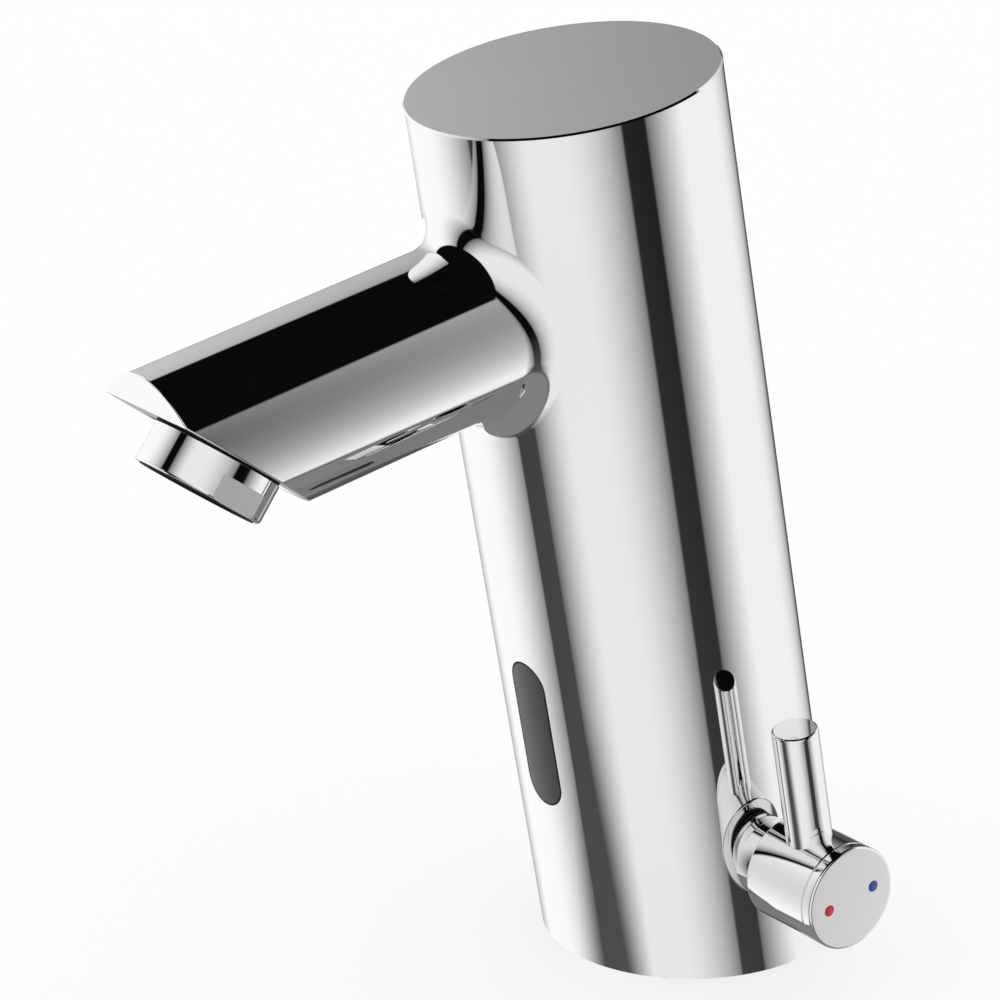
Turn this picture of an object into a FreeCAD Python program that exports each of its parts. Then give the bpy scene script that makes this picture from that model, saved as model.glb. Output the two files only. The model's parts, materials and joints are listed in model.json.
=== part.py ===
import FreeCAD, Part
import os
import re
import Sketcher
from FreeCAD import Vector

# A deck-mounted sensor tap. +Z is up and the origin is the centre of the foot on the basin.
# The spout points along -Y and the temperature lever stands on the +X side.
# The column leans towards the user, so most pieces are drawn upright about the column's own
# axis and then turned by LEAN. Lengths are millimetres and angles are degrees.

SIZES = {
    # column
    "lean_angle": 10,
    "body_radius": 28.5,
    "body_wall": 3,
    "body_top": 173.6,
    "cap_thickness": 3,
    "edge_ease": 0.35,
    # spout: height of its axis, length to its upright end, and the slanted cut for the outlet
    "spout_radius": 16.35,
    "spout_bore": 13.6,
    "spout_height": 136.4,
    "spout_reach": 93.8,
    "junction_round": 5.5,
    "nose_angle": 43.2,
    "nose_cross": 84.4,
    "nose_depth": 11,
    # aerator: a M24 housing with two wrench flats, set back from the nose's edge
    "aerator_radius": 12,
    "aerator_inset": 17.35,
    "aerator_drop": 7.7,
    "aerator_thread": 8.5,
    "aerator_wall": 1.8,
    "aerator_ease": 0.7,
    "wrench_width": 22,
    "wrench_height": 4.6,
    "outlet_bore": 9,
    # sensor window: a stadium on the front of the column
    "window_width": 9.4,
    "window_length": 30.1,
    "window_bottom": 38.4,
    "window_thick": 2.6,
    "seal_thick": 0.25,
    "sensor_screw_place": 10.5,
    "sensor_screw_depth": 20.6,
    # temperature lever: a knob on the side with an upright pin
    "knob_height": 24.05,
    "knob_radius": 9.9,
    "knob_start": 33.3,
    "knob_seam": 49,
    "knob_face": 51.3,
    "knob_recess": 8.4,
    "knob_ease": 0.25,
    "knob_web": 42,
    "neck_radius": 7.4,
    "pin_radius": 4.3,
    "pin_place": 41.3,
    "pin_top": 32.15,
    "pin_ease": 0.45,
    "mark_radius": 0.95,
    "mark_place": 5.35,
    # mixer block in the foot, with the stud hole, two inlets and a step for the gasket
    "fit_gap": 0.05,
    "block_top": 38,
    "stud_radius": 3.4,
    "stud_depth": 14,
    "inlet_radius": 4.5,
    "inlet_place": 11.5,
    "inlet_thread": 12,
    "inlet_depth": 28,
    "valve_bore": 4.2,
    "port_radius": 1.7,
    "port_place": 3.8,
    "riser_place": 11,
    "riser_radius": 2,
    "gasket_inner": 19.5,
    "gasket_outer": 25,
    "gasket_thick": 1.2,
    # non-return valves, one in each inlet
    "seat_hole": 2.2,
    "sleeve_inner": 3.4,
    "sleeve_top": 25,
    "poppet_seat": 14.5,
    "poppet_radius": 3,
    "poppet_thick": 1.4,
    "stem_radius": 1,
    "stem_top": 23.6,
    "guide_bottom": 22.6,
    "guide_thick": 1.4,
    # grub screws in the back that hold the block and the cap
    "block_screw_radius": 2,
    "block_screw_height": 16,
    "block_screw_length": 6,
    "cap_screw_radius": 1.5,
    "cap_screw_height": 166.2,
    "cap_screw_length": 5.4,
    # mixing cartridge, along the lever's axis
    "cartridge_start": 5,
    "cartridge_radius": 7,
    "cartridge_end": 19,
    "disc_radius": 5.5,
    "disc_thick": 1.6,
    "disc_port": 1.1,
    "disc_place": 3.3,
    "spindle_radius": 3,
    "spindle_ring_section": 0.6,
    # solenoid valve, behind the column's axis
    "valve_offset": 5.3,
    "valve_radius": 15.5,
    "valve_height": 12,
    "chamber_radius": 10.6,
    "diaphragm_radius": 11.4,
    "diaphragm_thick": 1.2,
    "cover_height": 5,
    "screw_circle": 13,
    "armature_radius": 4.8,
    "armature_bore": 4.2,
    "armature_length": 25,
    "armature_flange": 2,
    "plunger_length": 13.5,
    "coil_radius": 12,
    "coil_length": 19,
    # water tube from the valve to the nose
    "tube_radius": 4,
    "tube_wall": 1,
    "tube_offset": 14.3,
    "tube_bend": 18,
    "tube_turn": 14,
    "tube_rise": 17,
    # battery, tray and control board, hung from the top cap
    "spigot_radius": 25.4,
    "spigot_wall": 2.8,
    "spigot_length": 6.6,
    "cap_ring_section": 0.9,
    "flange_thick": 2,
    "tray_half": 18.9,
    "tray_wall": 1.2,
    "tray_front": 8.4,
    "tray_back": 14.2,
    "tray_bottom": 96,
    "tray_screw_place": 10,
    "battery_half": 7.6,
    "battery_radius": 9.75,
    "battery_length": 35.8,
    "board_half": 14,
    "board_thick": 1.6,
    "board_bottom": 104,
    "board_length": 56,
    "board_screw_inset": 4,
}

# Heights and places that follow from the sizes above, as spreadsheet expressions.
INNER = "(body_radius - body_wall)"
SEAM = "(body_top - cap_thickness)"
NOSE_EDGE = "(spout_height + (spout_reach - nose_cross) / tan(nose_angle))"
NOSE_Y = "(aerator_inset * sin(nose_angle) - spout_reach)"
NOSE_Z = f"({NOSE_EDGE} - aerator_inset * cos(nose_angle))"
COVER = "(block_top + valve_height + diaphragm_thick)"
BONNET = f"({COVER} + cover_height)"
FLANGE = f"({SEAM} - flange_thick)"
TUBE_FOOT = "(block_top + valve_height - 6.5)"

document = FreeCAD.newDocument("sensor_tap")


def write_sizes():
    """Put every driving dimension in the sheet, one row each: its name and its value."""
    sheet = document.addObject("Spreadsheet::Sheet", "Sizes")
    for row, (alias, number) in enumerate(SIZES.items(), 1):
        sheet.set(f"A{row}", alias)
        sheet.set(f"B{row}", str(number))
        sheet.setAlias(f"B{row}", alias)
    document.recompute()


def bound(text):
    """Turn each size's name in an expression into a reference to its cell."""
    return re.sub(r"[a-z]+(?:_[a-z]+)+", lambda name: "Sizes." + name.group(), text)


def number(holder, text):
    return float(holder.evalExpression(bound(text)))


def move(x="0", y="0", z="0", axis="1; 0; 0", angle="0"):
    return f"placement(vector({x}; {y}; {z}); rotation(vector({axis}); {angle}))"


LEAN = move(angle="lean_angle")
KNOB_AXIS = move(z="knob_height", axis="0; 1; 0", angle="90")
NOSE_AXIS = move(y=NOSE_Y, z=NOSE_Z, angle="nose_angle - 90")


def new_body(label, *moves, group=False):
    """An empty body named after its piece, placed by a product of moves."""
    body = document.addObject("PartDesign::Body", label)
    body.Label = label
    body.AllowCompound = group
    if moves:
        body.setExpression("Placement", bound(" * ".join(moves)))
    return body


def sketch_on(body, role, x="0", y="0", z="0", angle="0"):
    """A sketch on one of the body's own planes, shifted and turned about its own x."""
    plane = [item for item in body.Origin.OriginFeatures if item.Role == role][0]
    sketch = body.newObject("Sketcher::SketchObject", body.Label + "_sketch")
    sketch.AttachmentSupport = [(plane, "")]
    sketch.MapMode = "FlatFace"
    sketch.setExpression("AttachmentOffset", bound(move(x, y, z, angle=angle)))
    return sketch


def fix_point(sketch, item, end, x, y):
    """Hold one point of a sketch at two expressions from its origin, or at one and None."""
    for kind, axis, text in (("DistanceX", -2, x), ("DistanceY", -1, y)):
        if text is None:
            continue
        if text == "0":
            sketch.addConstraint(Sketcher.Constraint("PointOnObject", item, end, axis))
            continue
        held = Sketcher.Constraint(kind, -1, 1, item, end, number(sketch, text))
        index = sketch.addConstraint(held)
        sketch.setExpression(f"Constraints[{index}]", bound(text))


def outline(sketch, points):
    """A closed outline of straight lines through points given as expressions."""
    places = [Vector(number(sketch, x), number(sketch, y), 0) for x, y in points]
    first = sketch.GeometryCount
    for index, place in enumerate(places):
        following = places[(index + 1) % len(places)]
        sketch.addGeometry(Part.LineSegment(place, following))
    for index in range(len(places)):
        following = first + (index + 1) % len(places)
        sketch.addConstraint(Sketcher.Constraint("Coincident", first + index, 2, following, 1))
    for index, (x, y) in enumerate(points):
        fix_point(sketch, first + index, 1, x, y)


def circle(sketch, radius, x="0", y="0"):
    centre = Vector(number(sketch, x), number(sketch, y), 0)
    size = number(sketch, radius)
    item = sketch.addGeometry(Part.Circle(centre, Vector(0, 0, 1), size))
    index = sketch.addConstraint(Sketcher.Constraint("Radius", item, size))
    sketch.setExpression(f"Constraints[{index}]", bound(radius))
    fix_point(sketch, item, 3, x, y)


def stadium(sketch, radius, start, end, upright=True):
    """Two half circles joined by lines. Their centres lie at start and end on one axis."""
    size = number(sketch, radius)
    low, high = number(sketch, start), number(sketch, end)
    up = Vector(0, 0, 1)
    turn = 0 if upright else -90
    spin = FreeCAD.Rotation(up, turn)
    places = [spin.multVec(Vector(0, height, 0)) for height in (low, high)]
    side = spin.multVec(Vector(size, 0, 0))
    corners = [places[0] - side, places[0] + side, places[1] + side, places[1] - side]
    caps = [places[0] - spin.multVec(Vector(0, size, 0)),
            places[1] + spin.multVec(Vector(0, size, 0))]
    items = [
        sketch.addGeometry(Part.Arc(corners[0], caps[0], corners[1])),
        sketch.addGeometry(Part.LineSegment(corners[1], corners[2])),
        sketch.addGeometry(Part.Arc(corners[2], caps[1], corners[3])),
        sketch.addGeometry(Part.LineSegment(corners[3], corners[0])),
    ]
    for index, item in enumerate(items):
        following = items[(index + 1) % 4]
        sketch.addConstraint(Sketcher.Constraint("Tangent", item, 2, following, 1))
    index = sketch.addConstraint(Sketcher.Constraint("Radius", items[0], size))
    sketch.setExpression(f"Constraints[{index}]", bound(radius))
    for item, text in ((items[0], start), (items[2], end)):
        fix_point(sketch, item, 3, *(("0", text) if upright else (text, "0")))


def feature(body, kind, name, **expressions):
    made = body.newObject("PartDesign::" + kind, f"{body.Label}_{name}")
    for key, text in expressions.items():
        made.setExpression(key, bound(text))
    return made


def pad(body, sketch, length, backwards=False, midplane=False):
    made = feature(body, "Pad", "pad", Length=length)
    made.Profile = sketch
    made.Reversed = backwards
    made.Midplane = midplane
    return made


def cut(body, sketch, length=None, backwards=False, midplane=False):
    """Cut along the sketch's normal, against it, or both ways, by a length or right through."""
    made = feature(body, "Pocket", "cut")
    made.Profile = sketch
    made.Reversed = not backwards
    made.Midplane = midplane
    if length is None:
        made.Type = "ThroughAll"
    else:
        made.setExpression("Length", bound(length))
    return made


def turned(label, points, *moves):
    """A piece turned about its own Z axis from an outline of (radius, height) points."""
    body = new_body(label, *moves)
    sketch = sketch_on(body, "XZ_Plane")
    outline(sketch, points)
    made = feature(body, "Revolution", "turn")
    made.Profile = sketch
    made.ReferenceAxis = (sketch, ["V_Axis"])
    return body


def ease_edges(body, kind, size, wanted):
    """Round or bevel the edges of the body's last feature that a test picks."""
    document.recompute()
    base = body.Tip
    names = [f"Edge{index}" for index, edge in enumerate(base.Shape.Edges, 1) if wanted(edge)]
    key = "Radius" if kind == "Fillet" else "Size"
    made = feature(body, kind, "edges", **{key: size})
    made.Base = (base, names)
    print(f"{body.Label}: {kind.lower()} on {len(names)} edges")


def rim(radius, height):
    """A test for a circular edge of this radius at this height on the body's Z axis."""
    sheet = document.Sizes
    size, level = number(sheet, radius), number(sheet, height)

    def test(edge):
        curve = edge.Curve
        return (isinstance(curve, Part.Circle) and abs(curve.Radius - size) < 0.001
                and abs(curve.Center.z - level) < 0.001 and abs(curve.Axis.z) > 0.999)

    return test


def cylinder_at(body, radius, bottom, length, x="0", y="0", angle="0"):
    sketch = sketch_on(body, "XY_Plane", z=bottom, angle=angle)
    circle(sketch, radius, x, y)
    return pad(body, sketch, length)


def bore_at(body, radius, bottom, length, x="0", y="0", angle="0"):
    """A round hole from a height upwards. The angle tips its axis about X."""
    sketch = sketch_on(body, "XY_Plane", z=bottom, angle=angle)
    circle(sketch, radius, x, y)
    return cut(body, sketch, length)


def block_at(body, x, y, bottom, length):
    """A rectangular pad between two x and two y expressions."""
    sketch = sketch_on(body, "XY_Plane", z=bottom)
    outline(sketch, [(x[0], y[0]), (x[1], y[0]), (x[1], y[1]), (x[0], y[1])])
    return pad(body, sketch, length)


def hex_socket(body, radius, top, depth):
    sketch = sketch_on(body, "XY_Plane", z=top)
    outline(sketch, [(f"{radius} * cos({angle})", f"{radius} * sin({angle})")
                     for angle in range(30, 390, 60)])
    cut(body, sketch, depth, backwards=True)


def trim_foot(body):
    """Cut off what lies under the basin's plane, which is level while the column leans."""
    sketch = sketch_on(body, "XY_Plane", angle="-lean_angle")
    circle(sketch, "2 * body_radius")
    cut(body, sketch, "body_radius", backwards=True)


def trim_round(body, radius):
    """Cut off what lies outside a radius about the column's axis."""
    sketch = sketch_on(body, "XY_Plane")
    circle(sketch, radius)
    circle(sketch, "3 * body_radius")
    cut(body, sketch, "body_top")


def ring_seal(label, section, radius, height, *moves):
    """An O-ring, with a section of eight sides, turned about the body's Z axis."""
    corners = [(f"{radius} + {section} * cos({angle})", f"{height} + {section} * sin({angle})")
               for angle in range(0, 360, 45)]
    return turned(label, corners, *moves)


# ---- column and spout -------------------------------------------------------------------

def make_body_shell():
    """The cast column with its spout: one hollow casting, open at the foot and the top."""
    body = new_body("body_shell", LEAN)
    cylinder_at(body, "body_radius", "-body_radius / 2", f"{SEAM} + body_radius / 2")
    spout = sketch_on(body, "XZ_Plane")
    circle(spout, "spout_radius", y="spout_height")
    pad(body, spout, "spout_reach")
    ease_edges(body, "Fillet", "junction_round", is_junction)
    cut_nose(body)
    ease_edges(body, "Chamfer", "edge_ease", is_nose_edge)
    trim_foot(body)
    bore_at(body, INNER, "-body_radius", "body_top + body_radius")
    hollow_spout(body)
    cut_side_holes(body)
    return body


def is_junction(edge):
    """The closed curve where the spout leaves the column is the only curved, uneven edge."""
    box = edge.BoundBox
    return box.YLength > 1 and box.XLength > 20 and box.YMax < -20


def is_nose_edge(edge):
    """The edges round the spout's two end faces lie in front of the slanted cut's low end."""
    sheet = document.Sizes
    back = number(sheet, "-nose_cross + spout_radius / tan(90 - nose_angle)")
    return edge.BoundBox.YMax < back + 0.5


def cut_nose(body):
    """Slice the spout's end from its front edge down and back, square to the water's way."""
    sketch = sketch_on(body, "YZ_Plane")
    reach = "spout_radius * 1.5"
    outline(sketch, [
        ("-spout_reach", NOSE_EDGE),
        (f"-spout_reach + 3 * {reach} * sin(nose_angle)",
         f"{NOSE_EDGE} - 3 * {reach} * cos(nose_angle)"),
        (f"-spout_reach - {reach}", f"{NOSE_EDGE} - 3 * {reach} * cos(nose_angle)"),
        (f"-spout_reach - {reach}", NOSE_EDGE),
    ])
    cut(body, sketch, "4 * spout_radius", midplane=True)


def hollow_spout(body):
    """Bore the spout up to a plane parallel to the slanted cut, and bore the outlet's seat."""
    end = body.newObject("PartDesign::Plane", "nose_inside")
    support = [item for item in body.Origin.OriginFeatures if item.Role == "XZ_Plane"][0]
    end.AttachmentSupport = [(support, "")]
    end.MapMode = "FlatFace"
    place = move(y="spout_height", z="nose_cross - nose_depth / cos(nose_angle)", angle="nose_angle")
    end.setExpression("AttachmentOffset", bound(place))
    sketch = sketch_on(body, "XZ_Plane")
    circle(sketch, "spout_bore", y="spout_height")
    bore = feature(body, "Pocket", "bore")
    bore.Profile = sketch
    bore.Reversed = True
    bore.Type = "UpToFace"
    bore.UpToFace = (end, [""])
    for radius, depth in (("aerator_radius", "aerator_thread"), ("outlet_bore", "nose_depth + 2")):
        seat = sketch_on(body, "XZ_Plane", y=NOSE_Z, z=f"-{NOSE_Y}", angle="nose_angle")
        circle(seat, radius)
        cut(body, seat, depth, backwards=True)


def cut_side_holes(body):
    """The window's slot, the lever's hole and the two screw holes in the back."""
    window = sketch_on(body, "XZ_Plane")
    half = "window_width / 2"
    stadium(window, half, f"window_bottom + {half}", f"window_bottom + window_length - {half}")
    cut(body, window, "2 * body_radius")
    lever = sketch_on(body, "YZ_Plane")
    circle(lever, "neck_radius + fit_gap", y="knob_height")
    cut(body, lever, "2 * body_radius")
    for name in ("block_screw", "cap_screw"):
        screw = sketch_on(body, "XZ_Plane")
        circle(screw, f"{name}_radius", y=f"{name}_height")
        cut(body, screw, "2 * body_radius", backwards=True)


def make_top_cap():
    """The plain disc on top, with a spigot inside the column and a groove for its O-ring."""
    inner = "spigot_radius - spigot_wall"
    groove = "spigot_radius - 1.75"
    bottom = f"{SEAM} - spigot_length"
    body = turned("top_cap", [
        ("0", "body_top"), ("body_radius", "body_top"), ("body_radius", SEAM),
        ("spigot_radius", SEAM), ("spigot_radius", f"{SEAM} - 0.8"),
        (groove, f"{SEAM} - 0.8"), (groove, f"{SEAM} - 2.6"),
        ("spigot_radius", f"{SEAM} - 2.6"), ("spigot_radius", bottom),
        (inner, bottom), (inner, SEAM), ("0", SEAM),
    ], LEAN)
    ease_edges(body, "Chamfer", "edge_ease", rim("body_radius", "body_top"))
    for x in ("-tray_screw_place", "tray_screw_place"):
        bore_at(body, "1.25", SEAM, "cap_thickness - 1", x=x)
    grub = sketch_on(body, "XZ_Plane")
    circle(grub, "cap_screw_radius", y="cap_screw_height")
    cut(body, grub, "2 * body_radius", backwards=True)
    ring_seal("cap_oring", "cap_ring_section", f"{INNER} - cap_ring_section", f"{SEAM} - 1.7", LEAN)


def back_screw(label, sunk):
    """A grub screw from the back of the column, sunk a little, with a hexagon socket."""
    body = new_body(label, LEAN, move(y=f"body_radius - {sunk}", z=f"{label}_height", angle="-90"))
    cylinder_at(body, f"{label}_radius", f"-{label}_length", f"{label}_length")
    hex_socket(body, f"{label}_radius * 0.62", "0", "2")


# ---- foot -------------------------------------------------------------------------------

def make_mixer_block():
    """The cast block in the foot: stud hole, two inlets, cartridge bore and ways for water."""
    body = new_body("mixer_block", LEAN)
    bottom = "-body_radius / 2"
    cylinder_at(body, f"{INNER} - fit_gap", bottom, f"block_top - {bottom}")
    trim_foot(body)
    level = "-lean_angle"
    bore_at(body, "stud_radius", "0", "stud_depth", angle=level)
    for side in ("-", ""):
        place = f"{side}inlet_place"
        bore_at(body, "inlet_radius", "0", "inlet_thread", y=place, angle=level)
        bore_at(body, "valve_bore", "0", "inlet_depth", y=place, angle=level)
    step = sketch_on(body, "XY_Plane", angle=level)
    circle(step, "gasket_inner")
    circle(step, "2 * body_radius")
    cut(body, step, "gasket_thick")
    cut_cartridge_ways(body)
    screw = sketch_on(body, "XZ_Plane", z="-body_radius")
    circle(screw, "block_screw_radius", y="block_screw_height")
    cut(body, screw, "block_screw_length + 1.5")
    for x in ("-sensor_screw_place", "sensor_screw_place"):
        bore_at(body, "1", "block_top - 4.5", "5", x=x, y="-sensor_screw_depth")


def cut_cartridge_ways(body):
    """The cartridge's stepped bore from the side, a port from each inlet, and the riser."""
    for radius, start in (("cartridge_radius + fit_gap", "cartridge_start"),
                          ("neck_radius + fit_gap", "cartridge_end")):
        bore = sketch_on(body, "YZ_Plane", z=start)
        circle(bore, radius, y="knob_height")
        cut(body, bore, "body_radius")
    for backwards in (False, True):
        place = "inlet_place" if backwards else "-inlet_place"
        port = sketch_on(body, "XZ_Plane", z=f"-({place})")
        circle(port, "port_radius", x="port_place", y="knob_height")
        cut(body, port, "inlet_place - 3", backwards=not backwards)
    bore_at(body, "riser_radius", "knob_height", "block_top", x="riser_place")


def make_gasket():
    turned("base_gasket", [
        ("gasket_inner", "0"), ("gasket_outer", "0"),
        ("gasket_outer", "gasket_thick"), ("gasket_inner", "gasket_thick"),
    ])


def make_check_valve(side, place):
    """A non-return valve in one inlet: sleeve, poppet on a stem, spring and guide."""
    low, shelf, outside = "inlet_thread + 0.5", "poppet_seat", "valve_bore - fit_gap"
    axis = move(y=place)
    turned(f"{side}_valve_sleeve", [
        ("seat_hole", low), (outside, low), (outside, "sleeve_top"),
        ("sleeve_inner", "sleeve_top"), ("sleeve_inner", shelf), ("seat_hole", shelf),
    ], axis)
    shoulder = "poppet_seat + poppet_thick"
    turned(f"{side}_poppet", [
        ("0", shelf), ("poppet_radius", shelf), ("poppet_radius", shoulder),
        ("stem_radius", shoulder), ("stem_radius", "stem_top"), ("0", "stem_top"),
    ], axis)
    inside, top = "stem_radius + fit_gap", "guide_bottom + guide_thick"
    guide = turned(f"{side}_valve_guide", [
        (inside, "guide_bottom"), ("sleeve_inner", "guide_bottom"), ("sleeve_inner", top), (inside, top),
    ], axis)
    hole = sketch_on(guide, "XY_Plane", z="guide_bottom")
    circle(hole, "0.7", x="(stem_radius + sleeve_inner) / 2")
    opened = cut(guide, hole, "2 * guide_thick")
    repeat_round(guide, [opened], 3)
    sheet = document.Sizes
    bottom, ceiling = number(sheet, shoulder), number(sheet, "guide_bottom")
    coil_spring(f"{side}_poppet_spring", 1.75, 0.5, bottom, ceiling, 4, axis)


def coil_spring(label, radius, wire, bottom, top, turns, *moves):
    """A spring of square wire: a section swept along half-turn arcs that climb steadily."""
    climb = (top - bottom - wire) / turns
    start = bottom + wire / 2
    quarter = [Vector(radius, 0, 0), Vector(0, radius, 0), Vector(-radius, 0, 0), Vector(0, -radius, 0)]

    def point(index):
        return quarter[index % 4] + Vector(0, 0, start + climb * index / 4)

    arcs = [Part.Arc(point(2 * half), point(2 * half + 1), point(2 * half + 2)).toShape()
            for half in range(2 * turns)]
    path = Part.Wire(arcs)
    half = wire / 2
    corners = [Vector(radius + x, 0, start + z) for x, z in
               ((-half, -half), (half, -half), (half, half), (-half, half), (-half, -half))]
    section = Part.Wire(Part.makePolygon(corners).Edges)
    spring = document.addObject("Part::Feature", label)
    spring.Label = label
    spring.Shape = path.makePipeShell([section], True, False)
    spring.setExpression("Placement", bound(" * ".join(moves)))
    print(f"{label}: {turns} turns, least gap between turns {climb - wire:.2f} mm")
    return spring


# ---- mixing cartridge and lever ---------------------------------------------------------

def make_cartridge():
    """Housing, fixed and moving ceramic discs, and the bush that closes it."""
    wall = "cartridge_start + 1.5"
    end = "cartridge_end"
    housing = turned("cartridge_housing", [
        ("0", "cartridge_start"), ("cartridge_radius", "cartridge_start"),
        ("cartridge_radius", end), ("disc_radius + 0.1", end), ("disc_radius + 0.1", wall), ("0", wall),
    ], LEAN, KNOB_AXIS)
    for side in ("-", ""):
        bore_at(housing, "disc_port", "0", "cartridge_end / 2", y=f"{side}disc_place")
    window = sketch_on(housing, "YZ_Plane")
    circle(window, "riser_radius", y="riser_place")
    cut(housing, window, "2 * cartridge_radius", backwards=True)
    fixed = turned("fixed_disc", [
        ("0", wall), ("disc_radius", wall), ("disc_radius", f"{wall} + disc_thick"),
        ("0", f"{wall} + disc_thick"),
    ], LEAN, KNOB_AXIS)
    for side in ("-", ""):
        bore_at(fixed, "disc_port", "0", "cartridge_end / 2", y=f"{side}disc_place")
    low = f"{wall} + disc_thick + 0.02"
    moving = turned("moving_disc", [
        ("0", low), ("disc_radius", low), ("disc_radius", f"{low} + disc_thick"),
        ("0", f"{low} + disc_thick"),
    ], LEAN, KNOB_AXIS)
    bore_at(moving, "2.4", "0", f"{low} + disc_thick * 0.6", x="-disc_radius * 0.45")
    turned("cartridge_bush", [
        ("spindle_radius + fit_gap", f"{end} - 4"), ("disc_radius + 0.1", f"{end} - 4"),
        ("disc_radius + 0.1", end), ("spindle_radius + fit_gap", end),
    ], LEAN, KNOB_AXIS)


def make_spindle():
    """The shaft that turns the moving disc, with its O-ring and the nut it runs in."""
    low = "cartridge_start + 1.52 + 2 * disc_thick"
    web = "knob_web"
    groove = "spindle_radius - 1.2"
    body = turned("mixing_spindle", [
        ("0", low), ("disc_radius", low), ("disc_radius", f"{low} + 1.4"),
        ("spindle_radius", f"{low} + 1.4"), ("spindle_radius", "22"), (groove, "22"),
        (groove, "24"), ("spindle_radius", "24"), ("spindle_radius", web), ("0", web),
    ], LEAN, KNOB_AXIS)
    bore_at(body, "1.6", "cartridge_end + 13", "20")
    section = "spindle_ring_section"
    ring_seal("spindle_oring", section, f"spindle_radius + fit_gap - {section}", "23", LEAN, KNOB_AXIS)
    bore = "spindle_radius + fit_gap"
    turned("collar_nut", [
        (bore, "cartridge_end"), ("neck_radius", "cartridge_end"),
        ("neck_radius", "knob_start - 0.3"), (bore, "knob_start - 0.3"),
    ], LEAN, KNOB_AXIS)


def make_knob():
    """The knob that carries the pin, held to the spindle by a screw under its end cap."""
    seam = "knob_seam"
    body = turned("knob", [
        ("spindle_radius", "knob_start"), ("knob_radius", "knob_start"), ("knob_radius", seam),
        ("knob_recess", seam), ("knob_recess", "knob_web + 2"), ("2.1", "knob_web + 2"),
        ("2.1", "knob_web"), ("spindle_radius", "knob_web"),
    ], LEAN, KNOB_AXIS)
    tail = sketch_on(body, "YZ_Plane")
    circle(tail, "pin_radius / 2", y="pin_place")
    cut(body, tail, "2 * knob_radius", backwards=True)
    ease_edges(body, "Chamfer", "knob_ease", lambda edge: rim("knob_radius", "knob_start")(edge)
               or rim("knob_radius", seam)(edge))
    screw = new_body("knob_screw", LEAN, KNOB_AXIS)
    cylinder_at(screw, "1.6", "cartridge_end + 13", "knob_web - cartridge_end - 11")
    cylinder_at(screw, "3.5", "knob_web + 2", "3")
    hex_socket(screw, "1.7", "knob_web + 5", "1.8")


def make_knob_cap():
    """The end cap with the two colour marks let into its face."""
    face = "knob_face"
    body = turned("knob_cap", [
        ("0", face), ("knob_radius", face), ("knob_radius", "knob_seam"),
        ("knob_recess", "knob_seam"), ("knob_recess", "knob_seam - 1.6"),
        ("knob_recess - 1.4", "knob_seam - 1.6"), ("knob_recess - 1.4", "knob_seam + 0.6"),
        ("0", "knob_seam + 0.6"),
    ], LEAN, KNOB_AXIS)
    for side in ("-", ""):
        bore_at(body, "mark_radius", "knob_face - 0.8", "5", y=f"{side}mark_place")
    ease_edges(body, "Chamfer", "knob_ease", lambda edge: rim("knob_radius", face)(edge)
               or rim("knob_radius", "knob_seam")(edge))
    for label, side in (("hot_mark", "-"), ("cold_mark", "")):
        turned(label, [
            ("0", "knob_face - 0.8"), ("mark_radius", "knob_face - 0.8"),
            ("mark_radius", face), ("0", face),
        ], LEAN, KNOB_AXIS, move(y=f"{side}mark_place"))


def make_lever_pin():
    """The upright pin. Its foot is a saddle on the knob, and its tail is fixed in the knob."""
    body = new_body("lever_pin", LEAN, move(x="pin_place", z="knob_height"))
    cylinder_at(body, "pin_radius", "knob_radius / 2", "pin_top - knob_radius / 2")
    saddle = sketch_on(body, "YZ_Plane")
    circle(saddle, "knob_radius")
    cut(body, saddle, "4 * pin_radius", midplane=True)
    cylinder_at(body, "pin_radius / 2", "knob_recess + 0.05", "pin_radius")
    ease_edges(body, "Chamfer", "pin_ease", rim("pin_radius", "pin_top"))


# ---- sensor -----------------------------------------------------------------------------

def curved_to_wall(body, outer, inner):
    """Trim a piece to the space between two radii about the column's axis."""
    trim_round(body, outer)
    middle = sketch_on(body, "XY_Plane")
    circle(middle, inner)
    cut(body, middle, "body_top")


def make_window():
    """The dark lens, flush with the column, and the thin seal round it."""
    inner = "body_radius - window_thick"
    half = "window_width / 2"
    low, high = f"window_bottom + {half}", f"window_bottom + window_length - {half}"
    lens = new_body("sensor_window", LEAN)
    face = sketch_on(lens, "XZ_Plane")
    stadium(face, f"{half} - seal_thick", low, high)
    pad(lens, face, "body_radius + 1")
    curved_to_wall(lens, "body_radius", inner)
    seal = new_body("window_seal", LEAN)
    face = sketch_on(seal, "XZ_Plane")
    stadium(face, half, low, high)
    stadium(face, f"{half} - seal_thick", low, high)
    pad(seal, face, "body_radius + 1")
    curved_to_wall(seal, "body_radius - 0.1", inner)


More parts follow.
